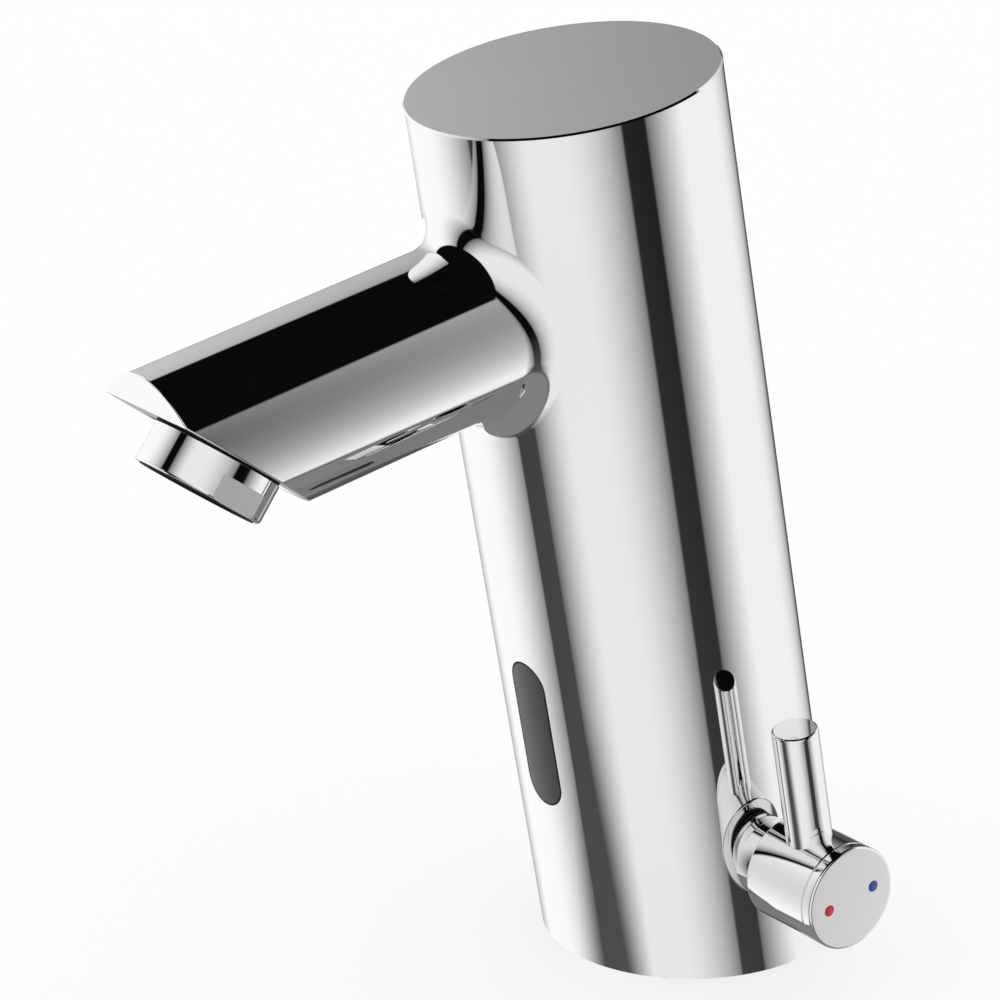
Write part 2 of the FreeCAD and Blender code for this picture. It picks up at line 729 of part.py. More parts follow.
def make_sensor():
    """The sensor's case on the mixer block, its board, its two diodes and its screws."""
    back, floor = "-19.5", "window_bottom + window_length + 3 - block_top"
    case = new_body("sensor_case", LEAN)
    block_at(case, ("-8", "8"), ("-body_radius", back), "block_top", floor)
    block_at(case, ("-13.5", "13.5"), ("-22.5", back), "block_top", "2")
    room = sketch_on(case, "XZ_Plane", z="21")
    outline(room, [("-6", "block_top + 3"), ("6", "block_top + 3"),
                   ("6", "window_bottom + window_length - 1"),
                   ("-6", "window_bottom + window_length - 1")])
    cut(case, room, "body_radius")
    trim_round(case, f"{INNER} - fit_gap")
    for x in ("-sensor_screw_place", "sensor_screw_place"):
        bore_at(case, "1", "block_top - 1", "5", x=x, y="-sensor_screw_depth")
    board = new_body("sensor_board", LEAN)
    block_at(board, ("-5.6", "5.6"), ("-22", "-21"), "block_top + 3.4", "window_length - 4.4")
    for label, height in (("ir_emitter", "46"), ("ir_receiver", "60")):
        diode = turned(label, [
            ("0", "22"), ("1.9", "22"), ("1.9", "22.8"), ("1.5", "22.8"),
            ("1.5", "25.4"), ("0", "25.4"),
        ], LEAN, move(z=height, angle="90"))
        ease_edges(diode, "Chamfer", "0.8", rim("1.5", "25.4"))
    screws = new_body("sensor_screws", LEAN, move(y="-sensor_screw_depth"), group=True)
    shank = cylinder_at(screws, "1", "block_top - 4", "6", x="sensor_screw_place")
    head = cylinder_at(screws, "1.9", "block_top + 2", "1.4", x="sensor_screw_place")
    repeat_round(screws, [shank, head], 2)


def repeat_round(body, features, count):
    """Repeat features round the body's Z axis as separate solids."""
    axis = [item for item in body.Origin.OriginFeatures if item.Role == "Z_Axis"][0]
    made = feature(body, "PolarPattern", "repeat")
    made.Originals = features
    made.Axis = (axis, [""])
    made.Angle = 360
    made.Occurrences = count
    body.Tip = made


# ---- solenoid valve ---------------------------------------------------------------------

def make_valve_body():
    """Valve seat and chamber over the riser, with an arm that takes the water tube."""
    body = new_body("valve_body", LEAN)
    place = "valve_offset"
    cylinder_at(body, "valve_radius", "block_top", "valve_height", y=place)
    arm = sketch_on(body, "YZ_Plane")
    outline(arm, [("-tube_offset", "block_top"), (place, "block_top"),
                  (place, "block_top + valve_height"), ("-tube_offset", "block_top + valve_height")])
    pad(body, arm, "10.2", midplane=True)
    cylinder_at(body, "5.1", "block_top", "valve_height", y="-tube_offset")
    ring = sketch_on(body, "XY_Plane", z="block_top + valve_height - 4")
    circle(ring, "chamber_radius", y=place)
    circle(ring, "5.2", y=place)
    cut(body, ring, "4")
    bore_at(body, "3.4", "block_top + 3", "valve_height", y=place)
    bore_at(body, "riser_radius", "block_top - 1", "valve_height - 2", x="riser_place")
    way = sketch_on(body, "XZ_Plane", z="-valve_offset")
    circle(way, "1.9", y="block_top + 4.2")
    cut(body, way, "tube_offset + valve_offset")
    bore_at(body, "2.8", "block_top + 3", "valve_height", y="-tube_offset")
    bore_at(body, "tube_radius", TUBE_FOOT, "valve_height", y="-tube_offset")


def make_valve_top():
    """Diaphragm, cover, armature tube, coil and nut, stacked on the valve's own axis."""
    axis = move(y="valve_offset")
    seat = "block_top + valve_height"
    membrane = turned("diaphragm", [
        ("0", seat), ("diaphragm_radius", seat), ("diaphragm_radius", COVER), ("0", COVER),
    ], LEAN, axis)
    bore_at(membrane, "0.5", seat, "diaphragm_thick", x="7.5")
    cover = turned("valve_cover", [
        ("1.1", COVER), ("diaphragm_radius", COVER), ("diaphragm_radius", seat),
        ("valve_radius", seat), ("valve_radius", BONNET), ("1.1", BONNET),
    ], LEAN, axis)
    holes = sketch_on(cover, "XY_Plane", z=seat)
    circle(holes, "1.5", x="screw_circle * cos(45)", y="screw_circle * sin(45)")
    opened = cut(cover, holes, "20")
    repeat_round(cover, [opened], 4)
    screws = new_body("valve_screws", LEAN, axis, group=True)
    place = {"x": "screw_circle * cos(45)", "y": "screw_circle * sin(45)"}
    shank = cylinder_at(screws, "1.5", seat, f"{BONNET} - ({seat})", **place)
    head = cylinder_at(screws, "2.4", BONNET, "1.8", **place)
    repeat_round(screws, [shank, head], 4)
    top = f"{BONNET} + armature_length"
    turned("armature_tube", [
        ("armature_bore", BONNET), ("7.5", BONNET), ("7.5", f"{BONNET} + armature_flange"),
        ("armature_radius", f"{BONNET} + armature_flange"), ("armature_radius", top), ("0", top),
        ("0", f"{top} - 3"), ("armature_bore", f"{top} - 3"),
    ], LEAN, axis)
    low = f"{BONNET} + armature_flange"
    turned("coil", [
        ("armature_radius", low), ("coil_radius", low), ("coil_radius", f"{low} + coil_length"),
        ("armature_radius", f"{low} + coil_length"),
    ], LEAN, axis)
    turned("coil_nut", [
        ("armature_radius", f"{low} + coil_length"), ("7", f"{low} + coil_length"),
        ("7", f"{low} + coil_length + 3"), ("armature_radius", f"{low} + coil_length + 3"),
    ], LEAN, axis)


def make_plunger():
    """The plunger that lifts off the pilot hole when the coil is energised, and its spring."""
    axis = move(y="valve_offset")
    low, radius = f"{BONNET} + 0.05", "armature_bore - fit_gap"
    top = f"{low} + plunger_length"
    turned("plunger", [
        ("0", low), ("2", low), (radius, f"{low} + 1.2"), (radius, top), ("1.1", top),
        ("1.1", f"{top} - 1"), ("0", f"{top} - 1"),
    ], LEAN, axis)
    sheet = document.Sizes
    ceiling = number(sheet, f"{BONNET} + armature_length - 3")
    coil_spring("plunger_spring", 2.4, 0.7, number(sheet, top), ceiling, 5, LEAN, axis)


# ---- water way to the nose --------------------------------------------------------------

def make_tube():
    """A bent tube: up from the valve, forward through the spout, and down to the outlet."""
    body = new_body("outlet_tube", LEAN)
    path = sketch_on(body, "YZ_Plane")
    rise = f"({NOSE_Z} + tube_rise * sin(nose_angle))"
    turn_end = f"({NOSE_Y} + tube_rise * cos(nose_angle))"
    drop = "tube_turn * tan(nose_angle / 2)"
    sheet = document.Sizes
    bend, turn = number(sheet, "tube_bend"), number(sheet, "tube_turn")
    back, height = -number(sheet, "tube_offset"), number(sheet, rise)
    corner, short = number(sheet, turn_end), number(sheet, drop)
    down = FreeCAD.Rotation(Vector(0, 0, 1), number(sheet, "nose_angle"))
    points = [
        Vector(back, number(sheet, TUBE_FOOT), 0), Vector(back, height - bend, 0),
        Vector(back - bend, height, 0), Vector(corner + short, height, 0),
        Vector(corner, height, 0) + down.multVec(Vector(-short, 0, 0)),
    ]
    knee = Vector(back - bend, height - bend, 0)
    elbow = Vector(corner + short, height - turn, 0)
    middle = FreeCAD.Rotation(Vector(0, 0, 1), number(sheet, "nose_angle / 2"))
    path.addGeometry(Part.LineSegment(points[0], points[1]))
    path.addGeometry(Part.Arc(points[1], knee + Vector(bend, bend, 0) * 0.5 ** 0.5, points[2]))
    path.addGeometry(Part.LineSegment(points[2], points[3]))
    path.addGeometry(Part.Arc(points[3], elbow + middle.multVec(Vector(0, turn, 0)), points[4]))
    for item in range(3):
        path.addConstraint(Sketcher.Constraint("Tangent", item, 2, item + 1, 1))
    path.addConstraint(Sketcher.Constraint("Vertical", 0))
    path.addConstraint(Sketcher.Constraint("Horizontal", 2))
    fix_point(path, 0, 1, "-tube_offset", TUBE_FOOT)
    fix_point(path, 1, 3, "-tube_offset - tube_bend", f"{rise} - tube_bend")
    fix_point(path, 3, 3, f"{turn_end} + {drop}", f"{rise} - tube_turn")
    fix_point(path, 3, 2, f"{turn_end} - ({drop}) * cos(nose_angle)", None)
    section = sketch_on(body, "XY_Plane", z=TUBE_FOOT)
    circle(section, "tube_radius", y="-tube_offset")
    circle(section, "tube_radius - tube_wall", y="-tube_offset")
    tube = feature(body, "AdditivePipe", "sweep")
    tube.Profile = section
    tube.Spine = (path, ["Edge1", "Edge2", "Edge3", "Edge4"])


def make_nose():
    """The bush that joins the tube to the outlet, then the aerator's seal, insert and housing."""
    end = "aerator_thread"
    bush = "tube_rise - tube_turn * tan(nose_angle / 2)"
    turned("outlet_bush", [
        ("3", end), ("outlet_bore - fit_gap", end), ("outlet_bore - fit_gap", f"{bush} + 1.2"),
        ("tube_radius + 0.1", f"{bush} + 1.2"), ("tube_radius + 0.1", bush), ("3", bush),
    ], LEAN, NOSE_AXIS)
    turned("aerator_seal", [
        ("8.6", f"{end} - 1.5"), ("aerator_radius - 0.3", f"{end} - 1.5"),
        ("aerator_radius - 0.3", end), ("8.6", end),
    ], LEAN, NOSE_AXIS)
    thread, inside = "aerator_radius - fit_gap", "aerator_radius - aerator_wall"
    housing = turned("aerator_housing", [
        (inside, "-aerator_drop"), ("aerator_radius", "-aerator_drop"),
        ("aerator_radius", "-0.5"), ("aerator_radius - 0.8", "-0.5"),
        ("aerator_radius - 0.8", "0.4"), (thread, "0.4"),
        (thread, f"{end} - 1.5"), ("8.8", f"{end} - 1.5"), ("8.8", f"{end} - 2.5"),
        (inside, f"{end} - 2.5"),
    ], LEAN, NOSE_AXIS)
    ease_edges(housing, "Chamfer", "aerator_ease", rim("aerator_radius", "-aerator_drop"))
    for side in ("", "-"):
        flat = sketch_on(housing, "XZ_Plane")
        edge, wide = f"{side}wrench_width / 2", f"{side}(aerator_radius + 2)"
        outline(flat, [(edge, "-aerator_drop - 1"), (wide, "-aerator_drop - 1"),
                       (wide, "-aerator_drop + wrench_height"), (edge, "-aerator_drop + wrench_height")])
        cut(housing, flat, "3 * aerator_radius", midplane=True)
    make_aerator_insert(inside, end)


def make_aerator_insert(inside, end):
    """The flow straightener: a thick disc with two rings of square jets."""
    low = "-aerator_drop + 1.4"
    body = turned("aerator_insert", [
        ("0", low), (inside, low), (inside, f"{end} - 2.5"),
        (f"{inside} - 1.2", f"{end} - 2.5"), (f"{inside} - 1.2", f"{low} + 2"), ("0", f"{low} + 2"),
    ], LEAN, NOSE_AXIS)
    for place, count in (("3.2", 6), ("6.4", 12)):
        jet = sketch_on(body, "XY_Plane", z="-aerator_drop")
        outline(jet, [(f"{place} + 0.8 * cos({turn})", f"0.8 * sin({turn})")
                      for turn in (45, 135, 225, 315)])
        opened = cut(body, jet, "aerator_drop")
        repeat_round(body, [opened], count)


# ---- battery and control board ----------------------------------------------------------

def make_tray():
    """The carrier hung under the cap: a flange, two cheeks, a back and a floor."""
    body = new_body("battery_tray", LEAN)
    cylinder_at(body, "spigot_radius - spigot_wall - 0.2", FLANGE, "flange_thick")
    half, front, back = "tray_half", "-tray_front", "tray_back"
    block_at(body, (f"-{half}", half), (front, back), "tray_bottom", f"{FLANGE} - tray_bottom")
    room = sketch_on(body, "XY_Plane", z="tray_bottom + tray_wall")
    side = f"{half} - tray_wall"
    outline(room, [(f"-({side})", "-2 * tray_front"), (side, "-2 * tray_front"),
                   (side, f"{back} - tray_wall"), (f"-({side})", f"{back} - tray_wall")])
    cut(body, room, f"{FLANGE} - tray_bottom - tray_wall")
    for x in ("-tray_screw_place", "tray_screw_place"):
        bore_at(body, "1.5", f"{FLANGE} - 1", "flange_thick + 2", x=x)
    trim_round(body, "spigot_radius - spigot_wall - 0.2")
    screws = new_body("tray_screws", LEAN, group=True)
    place = "tray_screw_place"
    shank = cylinder_at(screws, "1.25", FLANGE, "flange_thick + cap_thickness - 1.2", x=place)
    head = cylinder_at(screws, "2.5", f"{FLANGE} - 2", "2", x=place)
    repeat_round(screws, [shank, head], 2)


def make_battery():
    """Two cells in one sleeve, standing in the tray, and the two contact strips over them."""
    body = new_body("battery_pack", LEAN, move(y="2.9"))
    sleeve = sketch_on(body, "XY_Plane", z="tray_bottom + tray_wall")
    stadium(sleeve, "battery_radius", "-battery_half", "battery_half", upright=False)
    pad(body, sleeve, "battery_length")
    strips = new_body("battery_contacts", LEAN, group=True)
    top = "tray_bottom + tray_wall + battery_length"
    for side in ("-", ""):
        block_at(strips, (f"{side}battery_half - 2", f"{side}battery_half + 2"),
                 ("0", "tray_back - tray_wall"), top, "0.5")


def make_board():
    """The control board on the back of the tray, with its two screws."""
    body = new_body("control_board", LEAN)
    block_at(body, ("-board_half", "board_half"), ("tray_back", "tray_back + board_thick"),
             "board_bottom", "board_length")
    screws = new_body("board_screws", LEAN, group=True)
    for height in ("board_bottom + board_screw_inset",
                   "board_bottom + board_length - board_screw_inset"):
        for radius, start, length in (("1", "tray_back - tray_wall", "tray_wall + board_thick"),
                                      ("1.9", "tray_back + board_thick", "1.2")):
            sketch = sketch_on(screws, "XZ_Plane", z=f"-({start})")
            circle(sketch, radius, y=height)
            pad(screws, sketch, length, backwards=True)
        for holed in (body, document.battery_tray):
            hole = sketch_on(holed, "XZ_Plane")
            circle(hole, "1", y=height)
            cut(holed, hole, "body_radius", backwards=True)


def check(pieces):
    """Stop if a feature failed, a cut removed nothing, or a piece is not a sound solid."""
    for item in document.Objects:
        if "Invalid" in item.State or "Error" in item.State:
            raise RuntimeError(f"{item.Label} failed: {item.State}")
        if item.TypeId == "PartDesign::Pocket":
            removed = item.BaseFeature.Shape.Volume - item.Shape.Volume
            if removed < 0.05:
                raise RuntimeError(f"{item.Label} removes only {removed:.3f} cubic mm")
    for piece in pieces:
        if piece.Shape.isNull() or not piece.Shape.isValid() or not piece.Shape.Solids:
            raise RuntimeError(f"{piece.Label} is not a sound solid")


def main():
    write_sizes()
    make_body_shell()
    make_top_cap()
    back_screw("cap_screw", 0.4)
    make_mixer_block()
    back_screw("block_screw", 0.6)
    make_gasket()
    make_check_valve("hot", "-inlet_place")
    make_check_valve("cold", "inlet_place")
    make_cartridge()
    make_spindle()
    make_knob()
    make_knob_cap()
    make_lever_pin()
    make_window()
    make_sensor()
    make_valve_body()
    make_valve_top()
    make_plunger()
    make_tube()
    make_nose()
    make_tray()
    make_battery()
    make_board()
    document.recompute()
    pieces = [item for item in document.Objects
              if item.TypeId in ("PartDesign::Body", "Part::Feature")]
    check(pieces)
    os.makedirs("parts", exist_ok=True)
    for piece in pieces:
        piece.Shape.exportStep(f"parts/{piece.Label}.step")
        print(f"{piece.Label}: {len(piece.Shape.Solids)} solids, {piece.Shape.Volume:.0f} cubic mm")


main()
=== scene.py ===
# %% [markdown]
# # A chromed sensor tap
#
# The tap is a leaning brass column with a round spout, a dark sensor window, an aerator and a
# small temperature lever, all under polished chrome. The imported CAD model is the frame: it says
# where every piece is and what it moves with. Here each chromed piece is modelled again as a
# smooth mesh, because a mirror finish shows every facet, and every piece gets its finish.

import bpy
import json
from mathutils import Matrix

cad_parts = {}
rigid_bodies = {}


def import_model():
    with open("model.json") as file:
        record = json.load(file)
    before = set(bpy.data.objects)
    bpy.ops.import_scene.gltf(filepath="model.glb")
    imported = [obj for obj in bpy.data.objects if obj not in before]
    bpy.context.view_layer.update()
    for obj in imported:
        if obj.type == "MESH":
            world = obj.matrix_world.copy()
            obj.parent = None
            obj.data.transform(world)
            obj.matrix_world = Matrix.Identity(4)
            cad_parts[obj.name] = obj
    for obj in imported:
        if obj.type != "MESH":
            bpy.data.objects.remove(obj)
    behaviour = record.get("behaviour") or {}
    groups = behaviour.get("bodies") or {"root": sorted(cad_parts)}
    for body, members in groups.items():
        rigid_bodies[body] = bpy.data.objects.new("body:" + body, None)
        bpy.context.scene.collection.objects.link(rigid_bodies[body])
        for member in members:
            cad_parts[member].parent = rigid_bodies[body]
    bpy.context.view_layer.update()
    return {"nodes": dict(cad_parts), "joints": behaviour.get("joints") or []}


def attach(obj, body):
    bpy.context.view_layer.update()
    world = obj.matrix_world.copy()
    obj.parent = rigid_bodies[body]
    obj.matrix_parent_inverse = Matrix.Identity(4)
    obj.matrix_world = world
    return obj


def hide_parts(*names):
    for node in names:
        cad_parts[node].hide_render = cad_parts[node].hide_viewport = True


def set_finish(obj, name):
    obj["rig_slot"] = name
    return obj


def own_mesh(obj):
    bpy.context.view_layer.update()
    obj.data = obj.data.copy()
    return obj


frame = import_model()

import json
import math

import bmesh
import bpy
from mathutils import Matrix, Vector

scene = bpy.context.scene
MM = 0.001

# %% [markdown]
# ## Directions and sizes
#
# The column leans ten degrees towards the user. The pieces are modelled upright about the
# column's own axis and then turned by LEAN, so directions along the column and the spout are
# worked out from it. Most sizes are read from the CAD nodes, by asking how far a node reaches
# along a direction, and the few that can't be read that way are driving sizes of the design.

# %% Directions, and how far a node reaches
LEAN = Matrix.Rotation(math.radians(10), 4, "X")
ALONG = LEAN.to_3x3() @ Vector((0, 0, 1))
SIDE = Vector((1, 0, 0))


def reach(node, direction):
    """Lowest and highest place of a CAD node along a direction, in metres."""
    places = [vertex.co.dot(direction) for vertex in frame["nodes"][node].data.vertices]
    return min(places), max(places)


column_radius = reach("body_shell", SIDE)[1]
seam_height = reach("body_shell", ALONG)[1]
top_height = reach("top_cap", ALONG)[1]
knob_low, knob_seam = reach("knob", SIDE)
face_place = reach("knob_cap", SIDE)[1]
knob_radius = (reach("knob", ALONG)[1] - reach("knob", ALONG)[0]) / 2
knob_height = sum(reach("knob", ALONG)) / 2
pin_top = reach("lever_pin", ALONG)[1]
pin_place = sum(reach("lever_pin", SIDE)) / 2
pin_radius = reach("lever_pin", SIDE)[1] - pin_place
print(f"column radius {column_radius / MM:.2f} mm, seam at {seam_height / MM:.1f} mm")
print(f"knob radius {knob_radius / MM:.2f} mm at height {knob_height / MM:.2f} mm")

# %% Driving sizes of the spout, the nose and the openings
WALL = 3 * MM
SPOUT_RADIUS, SPOUT_HEIGHT = 16.35 * MM, 136.4 * MM
SPOUT_REACH, NOSE_CROSS, NOSE_ANGLE = 93.8 * MM, 84.4 * MM, math.radians(43.2)
JUNCTION_ROUND, JUNCTION_WIDER = 5.5 * MM, 2.9 * MM
WINDOW_HALF, WINDOW_LOW, WINDOW_HIGH = 4.95 * MM, 38.2 * MM, 68.6 * MM
NECK_RADIUS = 7.45 * MM
AERATOR_RADIUS = 12 * MM
nose_rise = (SPOUT_REACH - NOSE_CROSS) / math.tan(NOSE_ANGLE)
print(f"the nose's front edge is {(SPOUT_HEIGHT + nose_rise) / MM:.2f} mm up the column")

# %% [markdown]
# ## Helpers for pieces
#
# Every new piece ends the same way: its doubles are merged, its faces point outwards, its place
# goes into its mesh, and it rides on a body, mostly in place of a CAD node. Shading is smooth, but
# splits at every edge sharper than the crease angle. The weighted normal modifier gives large
# faces the say over shading, so that a tiny rounded edge doesn't bend the reflection in the flat
# face beside it. A piece whose form is known exactly gets its true normals instead.

# %% Turn a bmesh into a placed piece
DOUBLE, TINY = 0.5e-6, 1e-7


def to_object(bm, name):
    """An object in the scene made from a bmesh, which is freed."""
    mesh = bpy.data.meshes.new(name)
    bm.to_mesh(mesh)
    bm.free()
    made = bpy.data.objects.new(name, mesh)
    scene.collection.objects.link(made)
    return made


def place_piece(bm, name, body, slot, nodes, place=LEAN, true_normal=None, crease=45):
    """A smooth piece in the frame, on a body, that stands for the CAD nodes, if there are any."""
    bmesh.ops.remove_doubles(bm, verts=bm.verts, dist=DOUBLE)
    bmesh.ops.recalc_face_normals(bm, faces=bm.faces)
    for face in bm.faces:
        face.smooth = True
    for edge in bm.edges:
        edge.smooth = edge.calc_face_angle(0) < math.radians(crease)
    turn = place.to_3x3()
    if true_normal:
        normals = [turn @ true_normal(vert.co) for vert in bm.verts]
    bmesh.ops.transform(bm, matrix=place, verts=bm.verts)
    piece = to_object(bm, name)
    if true_normal:
        piece.data.normals_split_custom_set_from_vertices(normals)
    else:
        piece.modifiers.new("even_shading", "WEIGHTED_NORMAL").keep_sharp = True
    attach(piece, body)
    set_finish(piece, slot)
    if nodes:
        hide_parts(*nodes)
    size = " x ".join(f"{value / MM:.1f}" for value in piece.dimensions)
    print(f"{name}: {size} mm, {len(piece.data.polygons)} faces")
    return piece


def ease(bm, edges, offset):
    """Round some edges with three narrow strips."""
    bmesh.ops.bevel(bm, geom=edges, affect="EDGES", offset=offset, segments=3, profile=0.5,
                    material=-1, clamp_overlap=True)


def turned_mesh(corners, rounding=0.0, steps=128):
    """A closed outline spun round Z. Its corners are (radius, height) or (radius, height, own
    rounding), and each is rounded before the spin."""
    bm = bmesh.new()
    verts = [bm.verts.new((corner[0], 0, corner[1])) for corner in corners]
    bm.faces.new(verts)
    for vert, corner in zip(verts, corners):
        radius = corner[2] if len(corner) > 2 else rounding
        if radius > 0:
            bmesh.ops.bevel(bm, geom=[vert], affect="VERTICES", offset=radius, segments=4,
                            profile=0.5, material=-1, clamp_overlap=True)
    bmesh.ops.delete(bm, geom=bm.faces[:], context="FACES_ONLY")
    on_axis = [edge for edge in bm.edges if all(abs(vert.co.x) < TINY for vert in edge.verts)]
    bmesh.ops.delete(bm, geom=on_axis, context="EDGES")
    bmesh.ops.spin(bm, geom=bm.edges[:], cent=(0, 0, 0), axis=(0, 0, 1), angle=2 * math.pi,
                   steps=steps, use_merge=True)
    bmesh.ops.remove_doubles(bm, verts=bm.verts, dist=DOUBLE)
    bmesh.ops.dissolve_degenerate(bm, dist=TINY, edges=bm.edges)
    return bm


print("helpers ready")

# %% [markdown]
# ## The camera
#
# The photograph is taken from the front right, a little above the spout, with a long lens that
# keeps the column's sides nearly parallel. The camera's own axes come from how far it is turned
# round the tap, how high it stands and how much it is rolled.

# %% Camera
AZIMUTH, ELEVATION, ROLL = math.radians(53.70), math.radians(19.94), -0.0127
away = Vector((math.sin(AZIMUTH) * math.cos(ELEVATION),
               -math.cos(AZIMUTH) * math.cos(ELEVATION), math.sin(ELEVATION)))
right = Vector((math.cos(AZIMUTH), math.sin(AZIMUTH), 0))
turned = Matrix((right, away.cross(right), away)).transposed()
turned = turned @ Matrix.Rotation(ROLL, 3, "Z")

lens = bpy.data.cameras.new("photograph")
lens.lens, lens.sensor_width = 137.67, 36
lens.clip_start, lens.clip_end = 0.01, 100
camera = bpy.data.objects.new("photograph", lens)
camera.matrix_world = Matrix.Translation((0.52157, -0.42787, 0.33026)) @ turned.to_4x4()
scene.collection.objects.link(camera)
scene.camera = camera
scene.view_settings.view_transform = "Standard"
print("camera at", [round(value, 3) for value in camera.matrix_world.translation])

# %% [markdown]
# ## Helpers for shader nodes
#
# A finish is a small tree of nodes. These helpers place a node, set its sockets and link them, so
# that each finish below reads as a short list of what it does.


# %% Node helpers
def add_node(tree, kind, sockets=None, **settings):
    """A node of a kind, with some of its settings, and its input sockets set or linked."""
    node = tree.nodes.new("ShaderNode" + kind)
    for name, value in settings.items():
        setattr(node, name, value)
    for name, value in (sockets or {}).items():
        if isinstance(value, bpy.types.NodeSocket):
            tree.links.new(value, node.inputs[name])
        else:
            node.inputs[name].default_value = value
    return node


def calculate(tree, operation, *values):
    """The output of a Math node."""
    return add_node(tree, "Math", dict(enumerate(values)), operation=operation).outputs[0]


def spread(tree, value, low, high, to_low=0.0, to_high=1.0, smooth=False):
    """A value spread from one range to another, held at its ends."""
    kind = "SMOOTHSTEP" if smooth else "LINEAR"
    sockets = {"Value": value, "From Min": low, "From Max": high, "To Min": to_low,
               "To Max": to_high}
    return add_node(tree, "MapRange", sockets, interpolation_type=kind).outputs["Result"]


def new_group(name, inputs, outputs):
    """An empty node group with named number inputs and named outputs."""
    group = bpy.data.node_groups.new(name, "ShaderNodeTree")
    for label, value in inputs.items():
        socket = group.interface.new_socket(label, in_out="INPUT", socket_type="NodeSocketFloat")
        socket.default_value = value
    for label, kind in outputs.items():
        group.interface.new_socket(label, in_out="OUTPUT", socket_type="NodeSocket" + kind)
    return group, group.nodes.new("NodeGroupInput"), group.nodes.new("NodeGroupOutput")


def use_group(tree, group, **values):
    """A group placed in a tree, with its inputs set or linked."""
    sockets = {label.replace("_", " ").capitalize(): value for label, value in values.items()}
    return add_node(tree, "Group", sockets, node_tree=group)


print("node helpers ready")

# %% [markdown]
# ## The studio that the chrome sees
#
# Chrome has almost no colour of its own. What makes it read as chrome is what stands round it, so
# photographers put a few tall soft boxes in a dark room and leave narrow gaps between them: the
# boxes become the bright bands and the gaps the dark stripes that run down the column. Area lamps
# could stand in for the boxes, but the room is drawn in the world here, as panels that have two
# edges, a bright middle and a fade on each side. In degrees, azimuth 0 is in front of the spout and
# 90 on the lever's side. Only reflections see the panels. All else gets plain white light.


# %% One soft box, as a group of nodes
def make_soft_box():
    """Brightness along the horizon: sharp edges, a bright middle and a fade on each side."""
    group, given, result = new_group("soft_box", {
        "Azimuth": 0, "Left": 0, "Right": 90, "Bright from": 20, "Bright to": 70,
        "Left fade": 1.3, "Right fade": 2, "Left glow": 0.1, "Right glow": 0.2,
        "Edge softness": 1.5, "Brightness": 1}, {"Glow": "Float"})
    socket = given.outputs
    azimuth, edge = socket["Azimuth"], socket["Edge softness"]
    glow = socket["Brightness"]
    for side, bright, sign in (("Left", "Bright from", 1), ("Right", "Bright to", -1)):
        away = spread(group, azimuth, socket[bright], socket[side])
        dimmed = calculate(group, "POWER", away, socket[side + " fade"])
        lost = calculate(group, "SUBTRACT", 1.0, socket[side + " glow"])
        fade = calculate(group, "SUBTRACT", 1.0, calculate(group, "MULTIPLY", dimmed, lost))
        beyond = calculate(group, "MULTIPLY_ADD", edge, float(sign), socket[side])
        before = calculate(group, "MULTIPLY_ADD", edge, float(-sign), socket[side])
        mask = spread(group, azimuth, before, beyond, smooth=True)
        glow = calculate(group, "MULTIPLY", glow, calculate(group, "MULTIPLY", fade, mask))
    group.links.new(glow, result.inputs["Glow"])
    return group


soft_box = make_soft_box()
print("soft box group:", len(soft_box.nodes), "nodes")

# %% Where the studio's panels stand
SOFT_BOXES = {
    "front": dict(left=-6.5, right=95, bright_from=24, bright_to=48, left_fade=1.3,
                  right_fade=2, left_glow=0.14, right_glow=0.24, brightness=0.92),
    "back": dict(left=113, right=214, bright_from=143, bright_to=178, left_fade=1.1,
                 right_fade=1.75, left_glow=0.15, right_glow=0.27, brightness=0.99),
    "left": dict(left=-138, right=-23.5, bright_from=-95, bright_to=-68, left_fade=1.05,
                 right_fade=1.7, left_glow=-0.05, right_glow=0.24, brightness=1.08),
}
LOW_LIGHT = dict(left=-136, right=-108, bright_from=-130, bright_to=-112, left_fade=1,
                 right_fade=1, left_glow=0.8, right_glow=0.9, brightness=1.5)
LOW_LIGHT_TOP, LOW_LIGHT_FOOT, LOW_LIGHT_EDGE = 2, -17, 2
REAR_FILL = dict(left=-152, right=-136, bright_from=-148, bright_to=-140, left_fade=1,
                 right_fade=1, left_glow=0.8, right_glow=0.8, brightness=0.11)
BOX_TOP_LEFT, BOX_TOP_RIGHT, TOP_TURNS_FROM, TOP_TURNS_TO = 47, 42, -30, 40
BOX_FOOT, BOX_EDGE = -44.5, 1.5
CORNER_FROM, CORNER_TO, CORNER_FADE = -39, -43, 2.2
FLOOR_FROM, FLOOR_FADE, FLOOR_GLOW, NADIR_FROM, NADIR_GLOW = -5, 1.5, 0.09, -47, 0.24
ROOM_GLOW = 0.003
WRAP_FROM = -138
print("panels:", len(SOFT_BOXES) + 2)

# %% [markdown]
# The boxes' tops and feet are soft steps in height, and a fade grows towards the lower corners.
# The brightest panel in a direction wins, and below the boxes is a faint glow, as from a pale
# floor. The back box lies across the seam at 180 degrees, so its azimuth runs on past the seam.

# %% The world
def band(tree, value, edge, softness):
    """A soft step at an edge: up across it, or down where the softness is negative."""
    low = calculate(tree, "SUBTRACT", edge, softness)
    high = calculate(tree, "ADD", edge, softness)
    return spread(tree, value, low, high, smooth=True)


